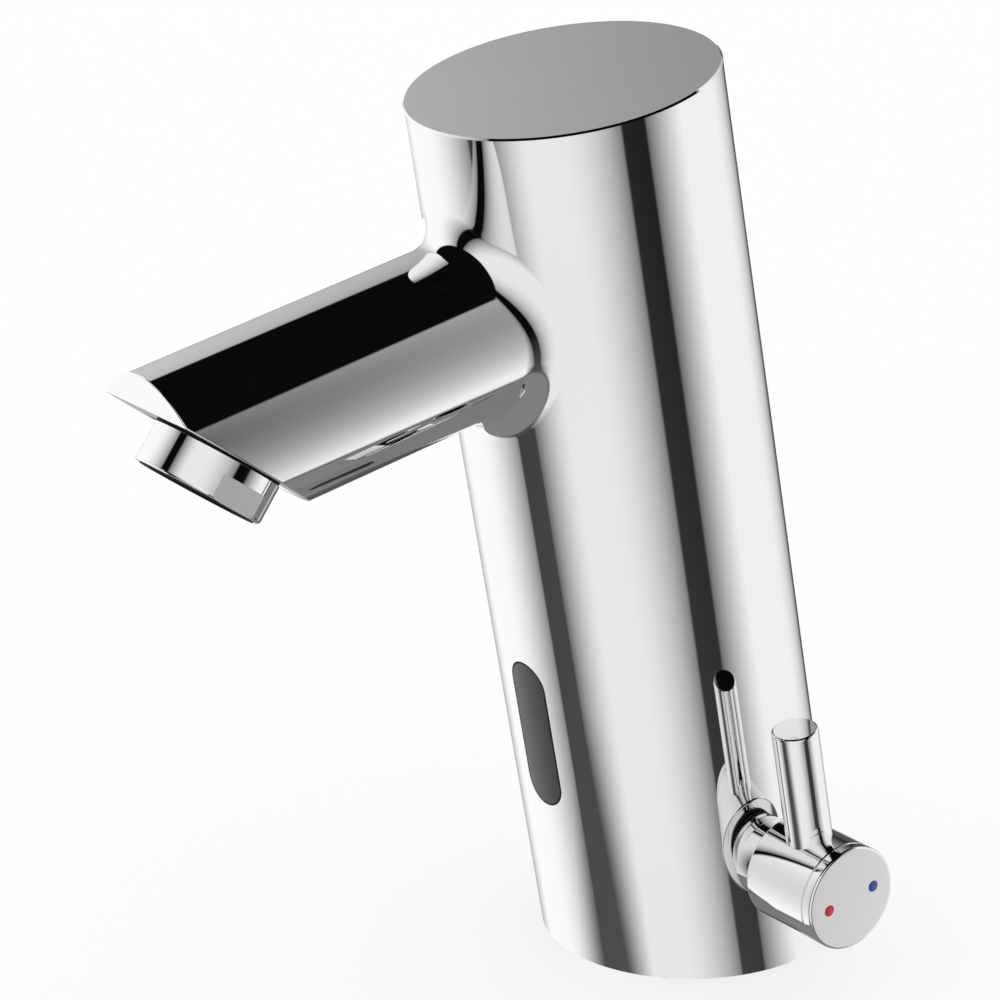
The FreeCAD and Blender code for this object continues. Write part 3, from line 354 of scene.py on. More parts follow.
def make_world():
    """White light for everything, and the studio for reflections alone."""
    world = bpy.data.worlds.new("studio")
    world.use_nodes = True
    tree = world.node_tree
    tree.nodes.clear()
    toward = add_node(tree, "TexCoord").outputs["Generated"]
    axis = add_node(tree, "SeparateXYZ", {0: toward}).outputs
    front = calculate(tree, "MULTIPLY", axis["Y"], -1.0)
    degrees = calculate(tree, "DEGREES", calculate(tree, "ARCTAN2", axis["X"], front))
    height = calculate(tree, "DEGREES", calculate(tree, "ARCSINE", axis["Z"]))

    around = calculate(tree, "LESS_THAN", degrees, WRAP_FROM)
    wrapped = calculate(tree, "MULTIPLY_ADD", around, 360.0, degrees)
    turn = spread(tree, degrees, TOP_TURNS_FROM, TOP_TURNS_TO, smooth=True)
    top = add_node(tree, "Mix", {"Factor": turn, "A": BOX_TOP_LEFT, "B": BOX_TOP_RIGHT})
    under_top = band(tree, height, top.outputs["Result"], -BOX_EDGE)
    tall = calculate(tree, "MULTIPLY", under_top, band(tree, height, BOX_FOOT, BOX_EDGE))
    corner = spread(tree, height, CORNER_FROM, CORNER_TO, 1, CORNER_FADE)
    boxes = {}
    for name, values in SOFT_BOXES.items():
        azimuth = wrapped if name == "back" else degrees
        glow = use_group(tree, soft_box, azimuth=azimuth, **values).outputs["Glow"]
        share = calculate(tree, "DIVIDE", glow, values["brightness"])
        shaped = calculate(tree, "POWER", share, corner)
        glow = calculate(tree, "MULTIPLY", shaped, values["brightness"])
        boxes[name] = calculate(tree, "MULTIPLY", glow, tall)
    low = use_group(tree, soft_box, azimuth=degrees, **LOW_LIGHT).outputs["Glow"]
    short = calculate(tree, "MULTIPLY", band(tree, height, LOW_LIGHT_TOP, -BOX_EDGE),
                      band(tree, height, LOW_LIGHT_FOOT, LOW_LIGHT_EDGE))
    boxes["low"] = calculate(tree, "MULTIPLY", low, short)
    rear = use_group(tree, soft_box, azimuth=degrees, **REAR_FILL).outputs["Glow"]
    boxes["rear"] = calculate(tree, "MULTIPLY", rear, under_top)
    down = calculate(tree, "POWER", spread(tree, height, FLOOR_FROM, BOX_FOOT), FLOOR_FADE)
    glow = calculate(tree, "MULTIPLY", down, FLOOR_GLOW)
    glow = calculate(tree, "MAXIMUM", glow, ROOM_GLOW)
    for box in boxes.values():
        glow = calculate(tree, "MAXIMUM", glow, box)
    deep = spread(tree, height, BOX_FOOT, NADIR_FROM, smooth=True)
    mixed = add_node(tree, "Mix", {"Factor": deep, "A": glow, "B": NADIR_GLOW})

    seen = add_node(tree, "LightPath").outputs["Is Glossy Ray"]
    studio = add_node(tree, "Background", {"Color": mixed.outputs["Result"], "Strength": 1})
    plain = add_node(tree, "Background", {"Color": (1, 1, 1, 1), "Strength": 1})
    both = add_node(tree, "MixShader", {0: seen, 1: plain.outputs[0], 2: studio.outputs[0]})
    output = add_node(tree, "OutputWorld")
    tree.links.new(both.outputs[0], output.inputs["Surface"])
    scene.world = world
    return len(tree.nodes)


print("world:", make_world(), "nodes")

# %% [markdown]
# ## The floor
#
# The tap stands on a plain white floor that fades into the white behind it. The floor takes the
# soft shadow round the foot. It isn't seen in reflections, because the photograph's chrome shows
# the soft boxes running down past the horizon.


# %% Floor
FLOOR_HALF, BACKDROP_SHARE = 4, 0.7
PAPER_DRIFT, PAPER_TONES = (0.3, 0.7), (0.985, 1)


def make_floor():
    """A wide white floor with a trace of unevenness in its paper."""
    bm = bmesh.new()
    bmesh.ops.create_grid(bm, x_segments=8, y_segments=8, size=FLOOR_HALF)
    floor = to_object(bm, "floor")
    floor.visible_glossy = False
    paper = bpy.data.materials.new("floor_paper")
    paper.use_nodes = True
    tree = paper.node_tree
    shader = tree.nodes["Principled BSDF"]
    place = add_node(tree, "TexCoord").outputs["Object"]
    grain = add_node(tree, "TexNoise", {"Vector": place, "Scale": 300, "Detail": 4})
    tone = spread(tree, grain.outputs[0], *PAPER_DRIFT, *PAPER_TONES)
    tree.links.new(tone, shader.inputs["Base Color"])
    shader.inputs["Roughness"].default_value = 0.9
    shader.inputs["Specular IOR Level"].default_value = 0
    bright = add_node(tree, "Emission", {"Color": (1, 1, 1, 1), "Strength": 1})
    seen = calculate(tree, "MULTIPLY", add_node(tree, "LightPath").outputs["Is Camera Ray"],
                     BACKDROP_SHARE)
    both = add_node(tree, "MixShader", {0: seen, 1: shader.outputs[0], 2: bright.outputs[0]})
    tree.links.new(both.outputs[0], tree.nodes["Material Output"].inputs["Surface"])
    floor.data.materials.append(paper)


make_floor()
print("floor laid")

# %% [markdown]
# ## The casting's skins
#
# The column and its spout are one casting. Its outside and its inside have the same form, three
# millimetres apart, so one function makes a skin and is called twice. A skin starts as a flat
# sheet of small squares, like the label of a tin. Each hole is a rectangular window in the sheet,
# and rings of new faces lead from the window's border to the hole's true outline. Then the sheet
# is rolled up, so every vertex lies exactly on the round surface, which a mirror finish needs.

# %% The sheet's squares
COLUMNS, ROW = 144, 1.3 * MM
LOW_ROW, HIGH_ROW = -111, 26
TURN = 2 * math.pi / COLUMNS


def make_sheet(bm):
    """A flat sheet: across is the angle round the column, up is the height along it."""
    rows = HIGH_ROW - LOW_ROW
    made = bmesh.ops.create_grid(bm, x_segments=COLUMNS, y_segments=rows, size=0.5)["verts"]
    sheet = {}
    for vert in made:
        column, row = round((vert.co.x + 0.5) * COLUMNS), round((vert.co.y + 0.5) * rows)
        height = SPOUT_HEIGHT + (row + LOW_ROW) * ROW
        if row == rows:
            height = seam_height
        vert.co = (column * TURN - math.pi / 2, 0, height)
        sheet[column, row + LOW_ROW] = vert
    return sheet


def ring_edges(bm, ring):
    """The edges between a closed ring's neighbours."""
    return [bm.edges.get((ring[index - 1], ring[index])) for index in range(len(ring))]


def next_ring(bm, ring, places):
    """Extrude a closed ring of vertices, and move the new ones to their places."""
    made = bmesh.ops.extrude_edge_only(bm, edges=ring_edges(bm, ring))["geom"]
    fresh = {item for item in made if isinstance(item, bmesh.types.BMVert)}
    new_ring = [next(edge.other_vert(vert) for edge in vert.link_edges
                     if edge.other_vert(vert) in fresh) for vert in ring]
    for vert, place in zip(new_ring, places):
        vert.co = place
    return new_ring


def open_window(bm, sheet, column, row, across, up):
    """Delete a rectangle of squares, and give its border from the right, going up and round."""
    right = [(column + across, row + step) for step in range(-up, up)]
    top = [(column - step, row + up) for step in range(-across, across)]
    left = [(column - across, row - step) for step in range(-up, up)]
    bottom = [(column + step, row - up) for step in range(-across, across)]
    border = right[up:] + top + left + bottom + right[:up]
    inside = {sheet[x, y] for x in range(column - across, column + across + 1)
              for y in range(row - up, row + up + 1)}
    faces = [face for face in bm.faces if all(vert in inside for vert in face.verts)]
    bmesh.ops.delete(bm, geom=faces, context="FACES")
    return [sheet[place] for place in border]


print("sheet of", COLUMNS, "by", HIGH_ROW - LOW_ROW)

# %% [markdown]
# The column's side has four holes: the window's slot, the lever's hole and two screw holes at the
# back. Each outline has as many points as its window in the sheet has border vertices, so the two
# can be joined point by point, and the outlines start where the border does, at the right.

# %% Outlines of the holes, as places across and up
FRONT, LEVER_SIDE, BACK = 36, 72, 108


def round_outline(radius, height, count):
    """A circle's points, from its right side, going up and round."""
    angles = [2 * math.pi * step / count for step in range(count)]
    return [(radius * math.cos(angle), height + radius * math.sin(angle)) for angle in angles]


def slot_outline(radius, count=84, along=22):
    """An upright slot's points: along is how many steps each straight side has."""
    bend = count // 2 - along
    low, high = WINDOW_LOW + WINDOW_HALF, WINDOW_HIGH - WINDOW_HALF
    middle, rise = (low + high) / 2, (high - low) / along
    side = [(radius, low + rise * step) for step in range(along + 1)]
    angles = [math.pi * step / bend for step in range(1, bend)]
    arc = [(radius * math.cos(angle), high + radius * math.sin(angle)) for angle in angles]
    half = side + arc
    whole = half + [(-x, 2 * middle - z) for x, z in half]
    return whole[along // 2:] + whole[:along // 2]


# name, column and row of its middle, half its window's width and height in squares, outline
SIDE_HOLES = [
    ("slot", FRONT, -64, 6, 15, slot_outline(WINDOW_HALF)),
    ("lever", LEVER_SIDE, -86, 8, 8, round_outline(NECK_RADIUS, knob_height, 64)),
    ("block_screw", BACK, -93, 3, 3, round_outline(2 * MM, 16 * MM, 24)),
    ("cap_screw", BACK, 23, 2, 2, round_outline(1.5 * MM, 166.2 * MM, 16)),
]
print("side holes:", [hole[0] for hole in SIDE_HOLES])

# %% [markdown]
# ## Where the spout leaves the column
#
# The real casting has a small hollow round all the way where the spout leaves the column. It is
# the path of a ball that rolls in the corner and touches both cylinders. The ball's centre is one
# ball's radius outside each of them, so its place follows from the angle round the spout alone,
# and so do the two curves where it touches them. A bevel on the edge would be quicker, but its
# strips are uneven here, and the chrome would show that.

# %% The rolling ball
SPOUT_RING, EDGE_STEPS, TOP_STEPS = 160, 17, 46
SHEET_STEPS, HOLLOW_STEPS, TUBE_STEPS = 7, 9, 16


def spout_point(angle, radius, out):
    """A point round the spout's axis, at a distance out from the column's axis."""
    return Vector((radius * math.cos(angle), -out, SPOUT_HEIGHT + radius * math.sin(angle)))


def ball_radius(angle, inset=0.0):
    """The ball is larger at the spout's sides, where the two cylinders meet at an open angle."""
    return JUNCTION_ROUND + inset + JUNCTION_WIDER * math.cos(angle) ** 2


def ball_places(angle, column, spout, ball):
    """The ball's centre, where it touches the column, and where it touches the spout."""
    reach_in = math.sqrt((column + ball) ** 2 - ((spout + ball) * math.cos(angle)) ** 2)
    centre = spout_point(angle, spout + ball, reach_in)
    flat = Vector((centre.x, centre.y, 0)).normalized()
    return centre, centre - flat * ball, spout_point(angle, spout, reach_in)


def spout_angles(edge):
    """Angles round the spout, with one exactly at each end of the nose's front edge."""
    rest = SPOUT_RING - EDGE_STEPS - TOP_STEPS
    first = [edge * step / EDGE_STEPS for step in range(EDGE_STEPS)]
    top = [edge + (math.pi - 2 * edge) * step / TOP_STEPS for step in range(TOP_STEPS)]
    last = [math.pi - edge + (math.pi + edge) * step / rest for step in range(rest)]
    return first + top + last


print("rolling ball of", JUNCTION_ROUND / MM, "to", ball_radius(0) / MM, "mm")

# %% Lead the sheet to its holes, and on into the spout
def cut_side_windows(bm, sheet, radius):
    """Lead the sheet to the outline of each hole in the column's side."""
    rings = {}
    for name, column, row, across, up, outline in SIDE_HOLES:
        ring = open_window(bm, sheet, column, row, across, up)
        middle = column * TURN - math.pi / 2
        target = [Vector((middle + math.asin(x / radius), 0, z)) for x, z in outline]
        start = [vert.co.copy() for vert in ring]
        for part in (1 / 3, 2 / 3, 1):
            ring = next_ring(bm, ring, [a.lerp(b, part) for a, b in zip(start, target)])
        rings[name] = ring
    return rings


def cut_spout_window(bm, sheet, angles, radius, spout, inset):
    """Lead the sheet to the curve where the rolling ball touches the column."""
    half = SPOUT_RING // 8
    ring = open_window(bm, sheet, FRONT, 0, half, half)
    start = [vert.co.copy() for vert in ring]
    touches = [ball_places(angle, radius, spout, ball_radius(angle, inset))[1] for angle in angles]
    target = [Vector((math.atan2(place.x, -place.y), 0, place.z)) for place in touches]
    for step in range(1, SHEET_STEPS + 1):
        ring = next_ring(bm, ring, [a.lerp(b, step / SHEET_STEPS) for a, b in zip(start, target)])
    return ring


def draw_spout(bm, ring, angles, radius, spout, inset):
    """The hollow round, then the spout's tube up to its two end planes."""
    places = [ball_places(angle, radius, spout, ball_radius(angle, inset)) for angle in angles]
    for step in range(1, HOLLOW_STEPS + 1):
        part = step / HOLLOW_STEPS
        ring = next_ring(bm, ring, [
            centre + (column - centre).normalized().slerp((tube - centre).normalized(), part)
            * (column - centre).length for centre, column, tube in places])
    cross = NOSE_CROSS - inset / math.cos(NOSE_ANGLE)
    ends = [min(SPOUT_REACH - inset, cross + spout * math.sin(angle) * math.tan(NOSE_ANGLE))
            for angle in angles]
    for step in range(1, TUBE_STEPS + 1):
        ring = next_ring(bm, ring, [
            spout_point(angle, spout, -place[2].y + (end + place[2].y) * step / TUBE_STEPS)
            for angle, place, end in zip(angles, places, ends)])
    return ring


print("sheet, hollow and tube take", SHEET_STEPS + HOLLOW_STEPS + TUBE_STEPS, "rings")

# %% [markdown]
# The nose has an upright face and a slanted one. Each is one large face on the tube's end, so both
# are truly flat. Their edges are eased while they are still whole, and then the slanted face is
# filled again round the aerator's hole.

# %% The nose's two faces
NOSE_EASE, AERATOR_GAP = 0.3 * MM, 0.05 * MM
AERATOR_CENTRE = Vector((0, -81.92 * MM, 133.75 * MM))
OUT_OF_NOSE = Vector((0, -math.cos(NOSE_ANGLE), -math.sin(NOSE_ANGLE)))


def close_nose(bm, ring, inset):
    """The nose's two flat faces with eased edges, and the aerator's hole in the slanted one."""
    front = bm.faces.new(ring[EDGE_STEPS:EDGE_STEPS + TOP_STEPS + 1])
    slant = bm.faces.new(ring[EDGE_STEPS + TOP_STEPS:] + ring[:EDGE_STEPS + 1])
    crest = next(edge for edge in front.edges if slant in edge.link_faces)
    bmesh.ops.recalc_face_normals(bm, faces=bm.faces)
    ease(bm, ring_edges(bm, ring) + [crest], NOSE_EASE)
    bm.normal_update()
    slant = max(bm.faces, key=lambda face: face.calc_area() * (abs(face.normal.z) > 0.5))
    place = Matrix.Translation(AERATOR_CENTRE - OUT_OF_NOSE * inset)
    place = place @ Matrix.Rotation(NOSE_ANGLE - math.pi / 2, 4, "X")
    hole = bmesh.ops.create_circle(bm, segments=96, radius=AERATOR_RADIUS + AERATOR_GAP,
                                   matrix=place)["verts"]
    hole_edges = {edge for vert in hole for edge in vert.link_edges}
    slant_edges = list(slant.edges)
    bmesh.ops.delete(bm, geom=[slant], context="FACES_ONLY")
    bmesh.ops.triangle_fill(bm, edges=slant_edges + list(hole_edges), use_beauty=True)
    return hole


print("nose is cut at", round(math.degrees(NOSE_ANGLE), 1), "degrees")

# %% One whole skin
def make_skin(bm, radius, spout, inset):
    """One whole skin of the casting, and its open rings by name."""
    before = set(bm.verts)
    sheet = make_sheet(bm)
    rings = cut_side_windows(bm, sheet, radius)
    front_rise = (SPOUT_REACH - inset) - (NOSE_CROSS - inset / math.cos(NOSE_ANGLE))
    angles = spout_angles(math.asin(front_rise / math.tan(NOSE_ANGLE) / spout))
    start = cut_spout_window(bm, sheet, angles, radius, spout, inset)
    skin = [vert for vert in bm.verts if vert not in before]
    for vert in skin:
        angle = vert.co.x
        vert.co = (radius * math.sin(angle), -radius * math.cos(angle), vert.co.z)
    end = draw_spout(bm, start, angles, radius, spout, inset)
    rings["aerator"] = close_nose(bm, end, inset)
    return rings


print("skins ready")

# %% [markdown]
# Walls in the holes, round the foot and round the top join the two skins. The outside is still made
# of flat squares, so each vertex gets the normal of the true round surface, and reflections run as
# straight as on the real casting. On an eased edge Blender's own normal is kept.

# %% Join the two skins and ease the edges
FINE_EASE = 0.12 * MM


def build_wall(bm, ring, other):
    """A strip of squares between two closed rings, which joins each vertex to its own partner."""
    for index in range(len(ring)):
        bm.faces.new((ring[index - 1], ring[index], other[index], other[index - 1]))


def split_rings(verts):
    """The outer and the inner ring among vertices round the column's axis, each in order."""
    middle = column_radius - WALL / 2
    in_order = sorted(set(verts), key=lambda vert: math.atan2(vert.co.x, -vert.co.y))
    outer = [vert for vert in in_order if vert.co.xy.length > middle]
    return outer, [vert for vert in in_order if vert.co.xy.length < middle]


CLOSE = 0.005 * MM
BALLS = [(ball_places(angle, column_radius, SPOUT_RADIUS, ball_radius(angle))[0],
          ball_radius(angle)) for angle in spout_angles(math.asin(nose_rise / SPOUT_RADIUS))]


def casting_normal(place):
    """The exact normal of the casting's outside, or nothing where an edge is eased."""
    round_column = Vector((place.x, place.y, 0))
    round_spout = Vector((place.x, 0, place.z - SPOUT_HEIGHT))
    off_slant = (place - Vector((0, -NOSE_CROSS, SPOUT_HEIGHT))).dot(OUT_OF_NOSE)
    if abs(round_column.length - column_radius) < CLOSE:
        return round_column.normalized()
    if place.y > -column_radius / 2:
        return Vector()
    if abs(round_spout.length - SPOUT_RADIUS) < CLOSE:
        return round_spout.normalized()
    if abs(place.y + SPOUT_REACH) < CLOSE:
        return Vector((0, -1, 0))
    if abs(off_slant) < CLOSE:
        return OUT_OF_NOSE.copy()
    if round_column.length > column_radius and round_spout.length > SPOUT_RADIUS:
        near, size = min(BALLS, key=lambda ball: abs((ball[0] - place).length - ball[1]))
        if abs((near - place).length - size) < CLOSE:
            return (near - place).normalized()
    return Vector()


def make_body():
    """The casting: outside and inside skins, walls in every hole, and eased edges."""
    bm = bmesh.new()
    outer = make_skin(bm, column_radius, SPOUT_RADIUS, 0)
    inner = make_skin(bm, column_radius - WALL, SPOUT_RADIUS - WALL, WALL)
    seam = [vert for vert in bm.verts if abs(vert.co.y) < TINY and vert.co.x < 0]
    bmesh.ops.remove_doubles(bm, verts=seam, dist=2 * DOUBLE)
    level = LEAN.to_3x3().inverted() @ Vector((0, 0, 1))
    cut = bmesh.ops.bisect_plane(bm, geom=bm.verts[:] + bm.edges[:] + bm.faces[:], dist=TINY,
                                 plane_co=(0, 0, 0), plane_no=level, clear_inner=True)["geom_cut"]
    foot = split_rings([item for item in cut if isinstance(item, bmesh.types.BMVert)])
    top = split_rings([vert for vert in bm.verts if abs(vert.co.z - seam_height) < TINY])
    for ring, other in [foot, top] + [(outer[name], inner[name]) for name in outer]:
        build_wall(bm, ring, other)
    fine = [edge for ring in [foot[0]] + [outer[name] for name in outer if name != "slot"]
            for edge in ring_edges(bm, ring)]
    ease(bm, fine, FINE_EASE)
    place_piece(bm, "column_casting", "column", "chromed_casting", ["body_shell"],
                true_normal=casting_normal)


make_body()

# %% [markdown]
# ## Turned pieces
#
# The cap, the knob, its end cap, the neck, the pin and the aerator are all turned on a lathe, so
# each is drawn as half of its section and spun. Corners are rounded before the spin. Holes and
# flats that a lathe can't make are cut out afterwards, as a drill or a mill would.


# %% Places of the turned pieces, and cutting with a tool
KNOB_PLACE = LEAN @ Matrix.Translation((0, 0, knob_height)) @ Matrix.Rotation(math.pi / 2, 4, "Y")
NOSE_PLACE = (LEAN @ Matrix.Translation(AERATOR_CENTRE)
              @ Matrix.Rotation(NOSE_ANGLE - math.pi / 2, 4, "X"))


def carve(bm, tools):
    """Cut closed tool meshes out of a blank, and return what is left."""
    objects = []
    for label, shape in [("blank", bm)] + [("tool", tool) for tool in tools]:
        bmesh.ops.recalc_face_normals(shape, faces=shape.faces)
        objects.append(to_object(shape, label))
    for tool in objects[1:]:
        cut = objects[0].modifiers.new("cut", "BOOLEAN")
        cut.operation, cut.solver, cut.object = "DIFFERENCE", "EXACT", tool
    result = bmesh.new()
    result.from_object(objects[0], bpy.context.evaluated_depsgraph_get())
    for item in objects:
        mesh = item.data
        bpy.data.objects.remove(item)
        bpy.data.meshes.remove(mesh)
    return result


def drill(radius, low, high, y):
    """A closed cylinder along Z to cut with."""
    bm = bmesh.new()
    place = Matrix.Translation((0, y, (low + high) / 2))
    bmesh.ops.create_cone(bm, cap_ends=True, segments=48, radius1=radius, radius2=radius,
                          depth=high - low, matrix=place)
    return bm


def painted_shade_ring(name, inner, outer, low, high, rounding, place):
    """A plain black ring of painted shade, between two radii and two heights."""
    bm = turned_mesh([(inner, low), (outer, low), (outer, high), (inner, high)], rounding)
    place_piece(bm, name, "column", "black_rubber", [], place)


print("turning helpers ready")

# %% [markdown]
# The cap closes the column with a plain disc. Its rim has a narrow flat chamfer, which shows as one
# thin line, so it is two corners of the section and not a rounding, and a lower crease angle keeps
# both sharp.

# %% The top cap
CHAMFER, SPIGOT_DEPTH = 0.35 * MM, 6.6 * MM


def make_cap():
    """The plain disc on top, with the spigot that holds it in the column."""
    spigot, thin, foot = 25.4 * MM, 22.6 * MM, seam_height - SPIGOT_DEPTH
    bm = turned_mesh([
        (0, top_height), (column_radius - CHAMFER, top_height),
        (column_radius, top_height - CHAMFER), (column_radius, seam_height),
        (spigot, seam_height), (spigot, foot), (thin, foot), (thin, seam_height),
        (0, seam_height)], steps=192)
    place_piece(bm, "top_disc", "column", "chromed_lid", ["top_cap"], crease=40)


make_cap()

# %% [markdown]
# The lever's knob is a barrel with an end cap. The fine groove between them isn't cut: it is where
# their two rounded rims meet. Between the knob and the column is a polished neck. A black ring at
# its end is painted shade, for the dark gap between the neck and the knob. The marks are inlays in
# round recesses, red for hot and blue for cold.

# %% The knob, its end cap, the marks and the neck
MARK_RADIUS, MARK_PLACE, KNOB_EASE = 1.1 * MM, 5.35 * MM, 0.25 * MM
RING_WIDTH, SPINDLE_BORE = 1.3 * MM, 3.05 * MM


def make_knob():
    """The knob's barrel, hollow behind its end cap."""
    web, shelf, recess, screw = 42 * MM, 44 * MM, 8.4 * MM, 2.1 * MM
    bm = turned_mesh([
        (SPINDLE_BORE, knob_low), (knob_radius, knob_low, 2 * KNOB_EASE),
        (knob_radius, knob_seam, KNOB_EASE), (recess, knob_seam), (recess, shelf),
        (screw, shelf), (screw, web), (SPINDLE_BORE, web)], steps=144)
    place_piece(bm, "knob_barrel", "lever", "chromed_trim", ["knob"], KNOB_PLACE)


def make_knob_cap():
    """The knob's end cap, with two small round recesses for the marks."""
    recess, inner, skirt, back = 8.35 * MM, 7 * MM, knob_seam - 1.6 * MM, knob_seam + 0.6 * MM
    bm = turned_mesh([
        (0, face_place), (knob_radius, face_place, 2 * KNOB_EASE),
        (knob_radius, knob_seam, KNOB_EASE), (recess, knob_seam), (recess, skirt),
        (inner, skirt), (inner, back), (0, back)], steps=144)
    bm = carve(bm, [drill(MARK_RADIUS, face_place - 0.8 * MM, face_place + MM, side * MARK_PLACE)
                    for side in (-1, 1)])
    place_piece(bm, "knob_end", "lever", "chromed_trim", ["knob_cap"], KNOB_PLACE)


def make_mark(name, slot, node, side):
    """A small glossy inlay, eased at its rim and crowned by a hair."""
    radius, foot = MARK_RADIUS - 0.02 * MM, face_place - 0.78 * MM
    bm = turned_mesh([(0, foot), (radius, foot), (radius, face_place - 0.05 * MM, 0.04 * MM),
                      (0, face_place)], steps=48)
    place = KNOB_PLACE @ Matrix.Translation((0, side * MARK_PLACE, 0))
    place_piece(bm, name, "lever", slot, [node], place)


def make_neck():
    """The polished neck between column and knob, stepped for a black ring of painted shade."""
    low, high = reach("collar_nut", SIDE)
    radius, step = NECK_RADIUS - 0.05 * MM, high - RING_WIDTH
    bm = turned_mesh([
        (SPINDLE_BORE, low), (radius, low), (radius, step, 0.2 * MM), (radius - MM, step),
        (radius - MM, high), (SPINDLE_BORE, high)])
    place_piece(bm, "lever_neck", "column", "chromed_trim", ["collar_nut"], KNOB_PLACE)


def make_neck_shade_ring():
    """A black ring of painted shade, for the dark gap behind the knob."""
    nut_end = reach("collar_nut", SIDE)[1]
    low, high = nut_end - RING_WIDTH + 0.02 * MM, nut_end + 0.1 * MM
    inner, outer = NECK_RADIUS - 1.1 * MM, NECK_RADIUS - 0.1 * MM
    painted_shade_ring("neck_wiper_ring", inner, outer, low, high, 0.3 * MM, KNOB_PLACE)


make_knob()
make_knob_cap()
make_neck()
make_neck_shade_ring()
make_mark("red_mark", "hot_red", "hot_mark", -1)
make_mark("blue_mark", "cold_blue", "cold_mark", 1)

# %% [markdown]
# The pin stands on the round of the knob. A boolean would cut its foot, but the knob's radius is
# known, so it is enough to lift each vertex of the flat foot onto that cylinder.

# %% The lever's pin
PIN_EASE = 0.45 * MM


def make_pin():
    """The upright pin, with its foot hollowed to sit on the knob."""
    bottom, top = knob_radius * 0.6, pin_top - knob_height
    bm = turned_mesh([(0, bottom), (pin_radius, bottom), (pin_radius, top, PIN_EASE), (0, top)],
                     steps=96)
    for vert in bm.verts:
        if vert.co.z < bottom + 2 * DOUBLE:
            vert.co.z = math.sqrt(knob_radius ** 2 - vert.co.y ** 2)
    place = LEAN @ Matrix.Translation((pin_place, 0, knob_height))
    place_piece(bm, "lever_stick", "lever", "chromed_trim", ["lever_pin"], place)


make_pin()

# %% [markdown]
# The aerator screws into the slanted face of the nose. It is a chromed ring with two flats for a
# wrench and a dark insert inside. A black ring in its groove is painted shade for the dark gap at
# the nose, and shows as a black line there. Two blocks cut the flats, as a mill would, because a
# lathe can't make them.

# %% The aerator's ring, the black ring of painted shade, and the rim
RING_LOW, RING_TOP, GROOVE_LOW, GROOVE_TOP = -7.7 * MM, 7 * MM, -0.28 * MM, 0.4 * MM
FLATS_APART, FLAT_HEIGHT = 22 * MM, 4.6 * MM


def flat_block(side):
    """A block that cuts one wrench flat from the ring's lower end."""
    block = bmesh.new()
    width = 4 * MM
    place = Matrix.Translation((side * (FLATS_APART + width) / 2, 0, RING_LOW))
    bmesh.ops.create_cube(block, size=1,
                          matrix=place @ Matrix.Diagonal((width, 30 * MM, 2 * FLAT_HEIGHT, 1)))
    return block


def make_aerator():
    """The outlet's ring, with a fine groove at the nose and two flats for a wrench."""
    outer, inside, groove = AERATOR_RADIUS, 10.2 * MM, 11.2 * MM
    bm = turned_mesh([
        (inside, RING_LOW, 0.25 * MM), (outer, RING_LOW, 0.7 * MM),
        (outer, GROOVE_LOW, 0.06 * MM), (groove, GROOVE_LOW), (groove, GROOVE_TOP),
        (outer, GROOVE_TOP), (outer, RING_TOP), (inside, RING_TOP)])
    bm = carve(bm, [flat_block(side) for side in (-1, 1)])
    place_piece(bm, "aerator_ring", "column", "chromed_aerator", ["aerator_housing"],
                NOSE_PLACE, crease=20)


def make_nose_shade_ring():
    """A black ring of painted shade, a dark line between the outlet's ring and the nose."""
    painted_shade_ring("outlet_washer", 11.3 * MM, 11.8 * MM, -0.26 * MM, 0.3 * MM, 0.1 * MM, NOSE_PLACE)


def make_insert_rim():
    """The insert's dark rim, inside the outlet's ring, with a lip that stands just below it."""
    mouth, inside, outer = 9.48 * MM, 10.18 * MM, 10.9 * MM
    lip, top = -7.88 * MM, -6.32 * MM
    bm = turned_mesh([(mouth, lip), (outer, lip), (outer, RING_LOW), (inside, RING_LOW),
                      (inside, top), (mouth, top)], rounding=0.06 * MM)
    place_piece(bm, "insert_rim", "column", "black_rubber", [], NOSE_PLACE)


make_aerator()
make_nose_shade_ring()
make_insert_rim()

# %% [markdown]
# ## The sensor's window
#
# The window is a lens of dark plastic that lets infrared through, in a thin black seal. It is flush
# with the column and bent to the same radius, so that the column's reflections run on across it.
# It is made from rings inside each other, each rolled onto the cylinder, and the innermost one
# closes on the slot's middle line. A filled outline would have long thin faces, which don't bend.

# %% Rings on the column's round
LENS_RINGS = (0.06, 0.25, 0.45, 0.65, 0.85, 1)


def roll(x, z, radius):
    """A point across and up, rolled onto a cylinder round the column's axis."""
    return x, -math.sqrt(radius ** 2 - x ** 2), z


def rolled_ring(bm, outline, radius):
    """A closed ring of vertices at an outline's points on the cylinder."""
    ring = bmesh.ops.create_circle(bm, segments=len(outline), radius=1)["verts"]
    for vert, (x, z) in zip(ring, outline):
        vert.co = roll(x, z, radius)
    return ring


def lens_skin(bm, radius, outline):
    """One curved face of the lens, from its outline inwards. Returns its outer ring."""
    start = ring = rolled_ring(bm, outline, radius)
    low, high = WINDOW_LOW + WINDOW_HALF, WINDOW_HIGH - WINDOW_HALF
    middle = [min(max(z, low), high) for x, z in outline]
    for part in LENS_RINGS:
        ring = next_ring(bm, ring, [roll(x * (1 - part), z + (end - z) * part, radius)
                                    for (x, z), end in zip(outline, middle)])
    return start


print("the lens closes in", len(LENS_RINGS), "rings")

# %% The lens and its seal
SEAL_WIDTH, SEAL_GAP, SEAL_TOP, SEAL_FOOT = 0.5 * MM, 0.01 * MM, 0.02 * MM, 2.2 * MM
LENS_DEPTH, LENS_EASE = 2.6 * MM, 0.12 * MM


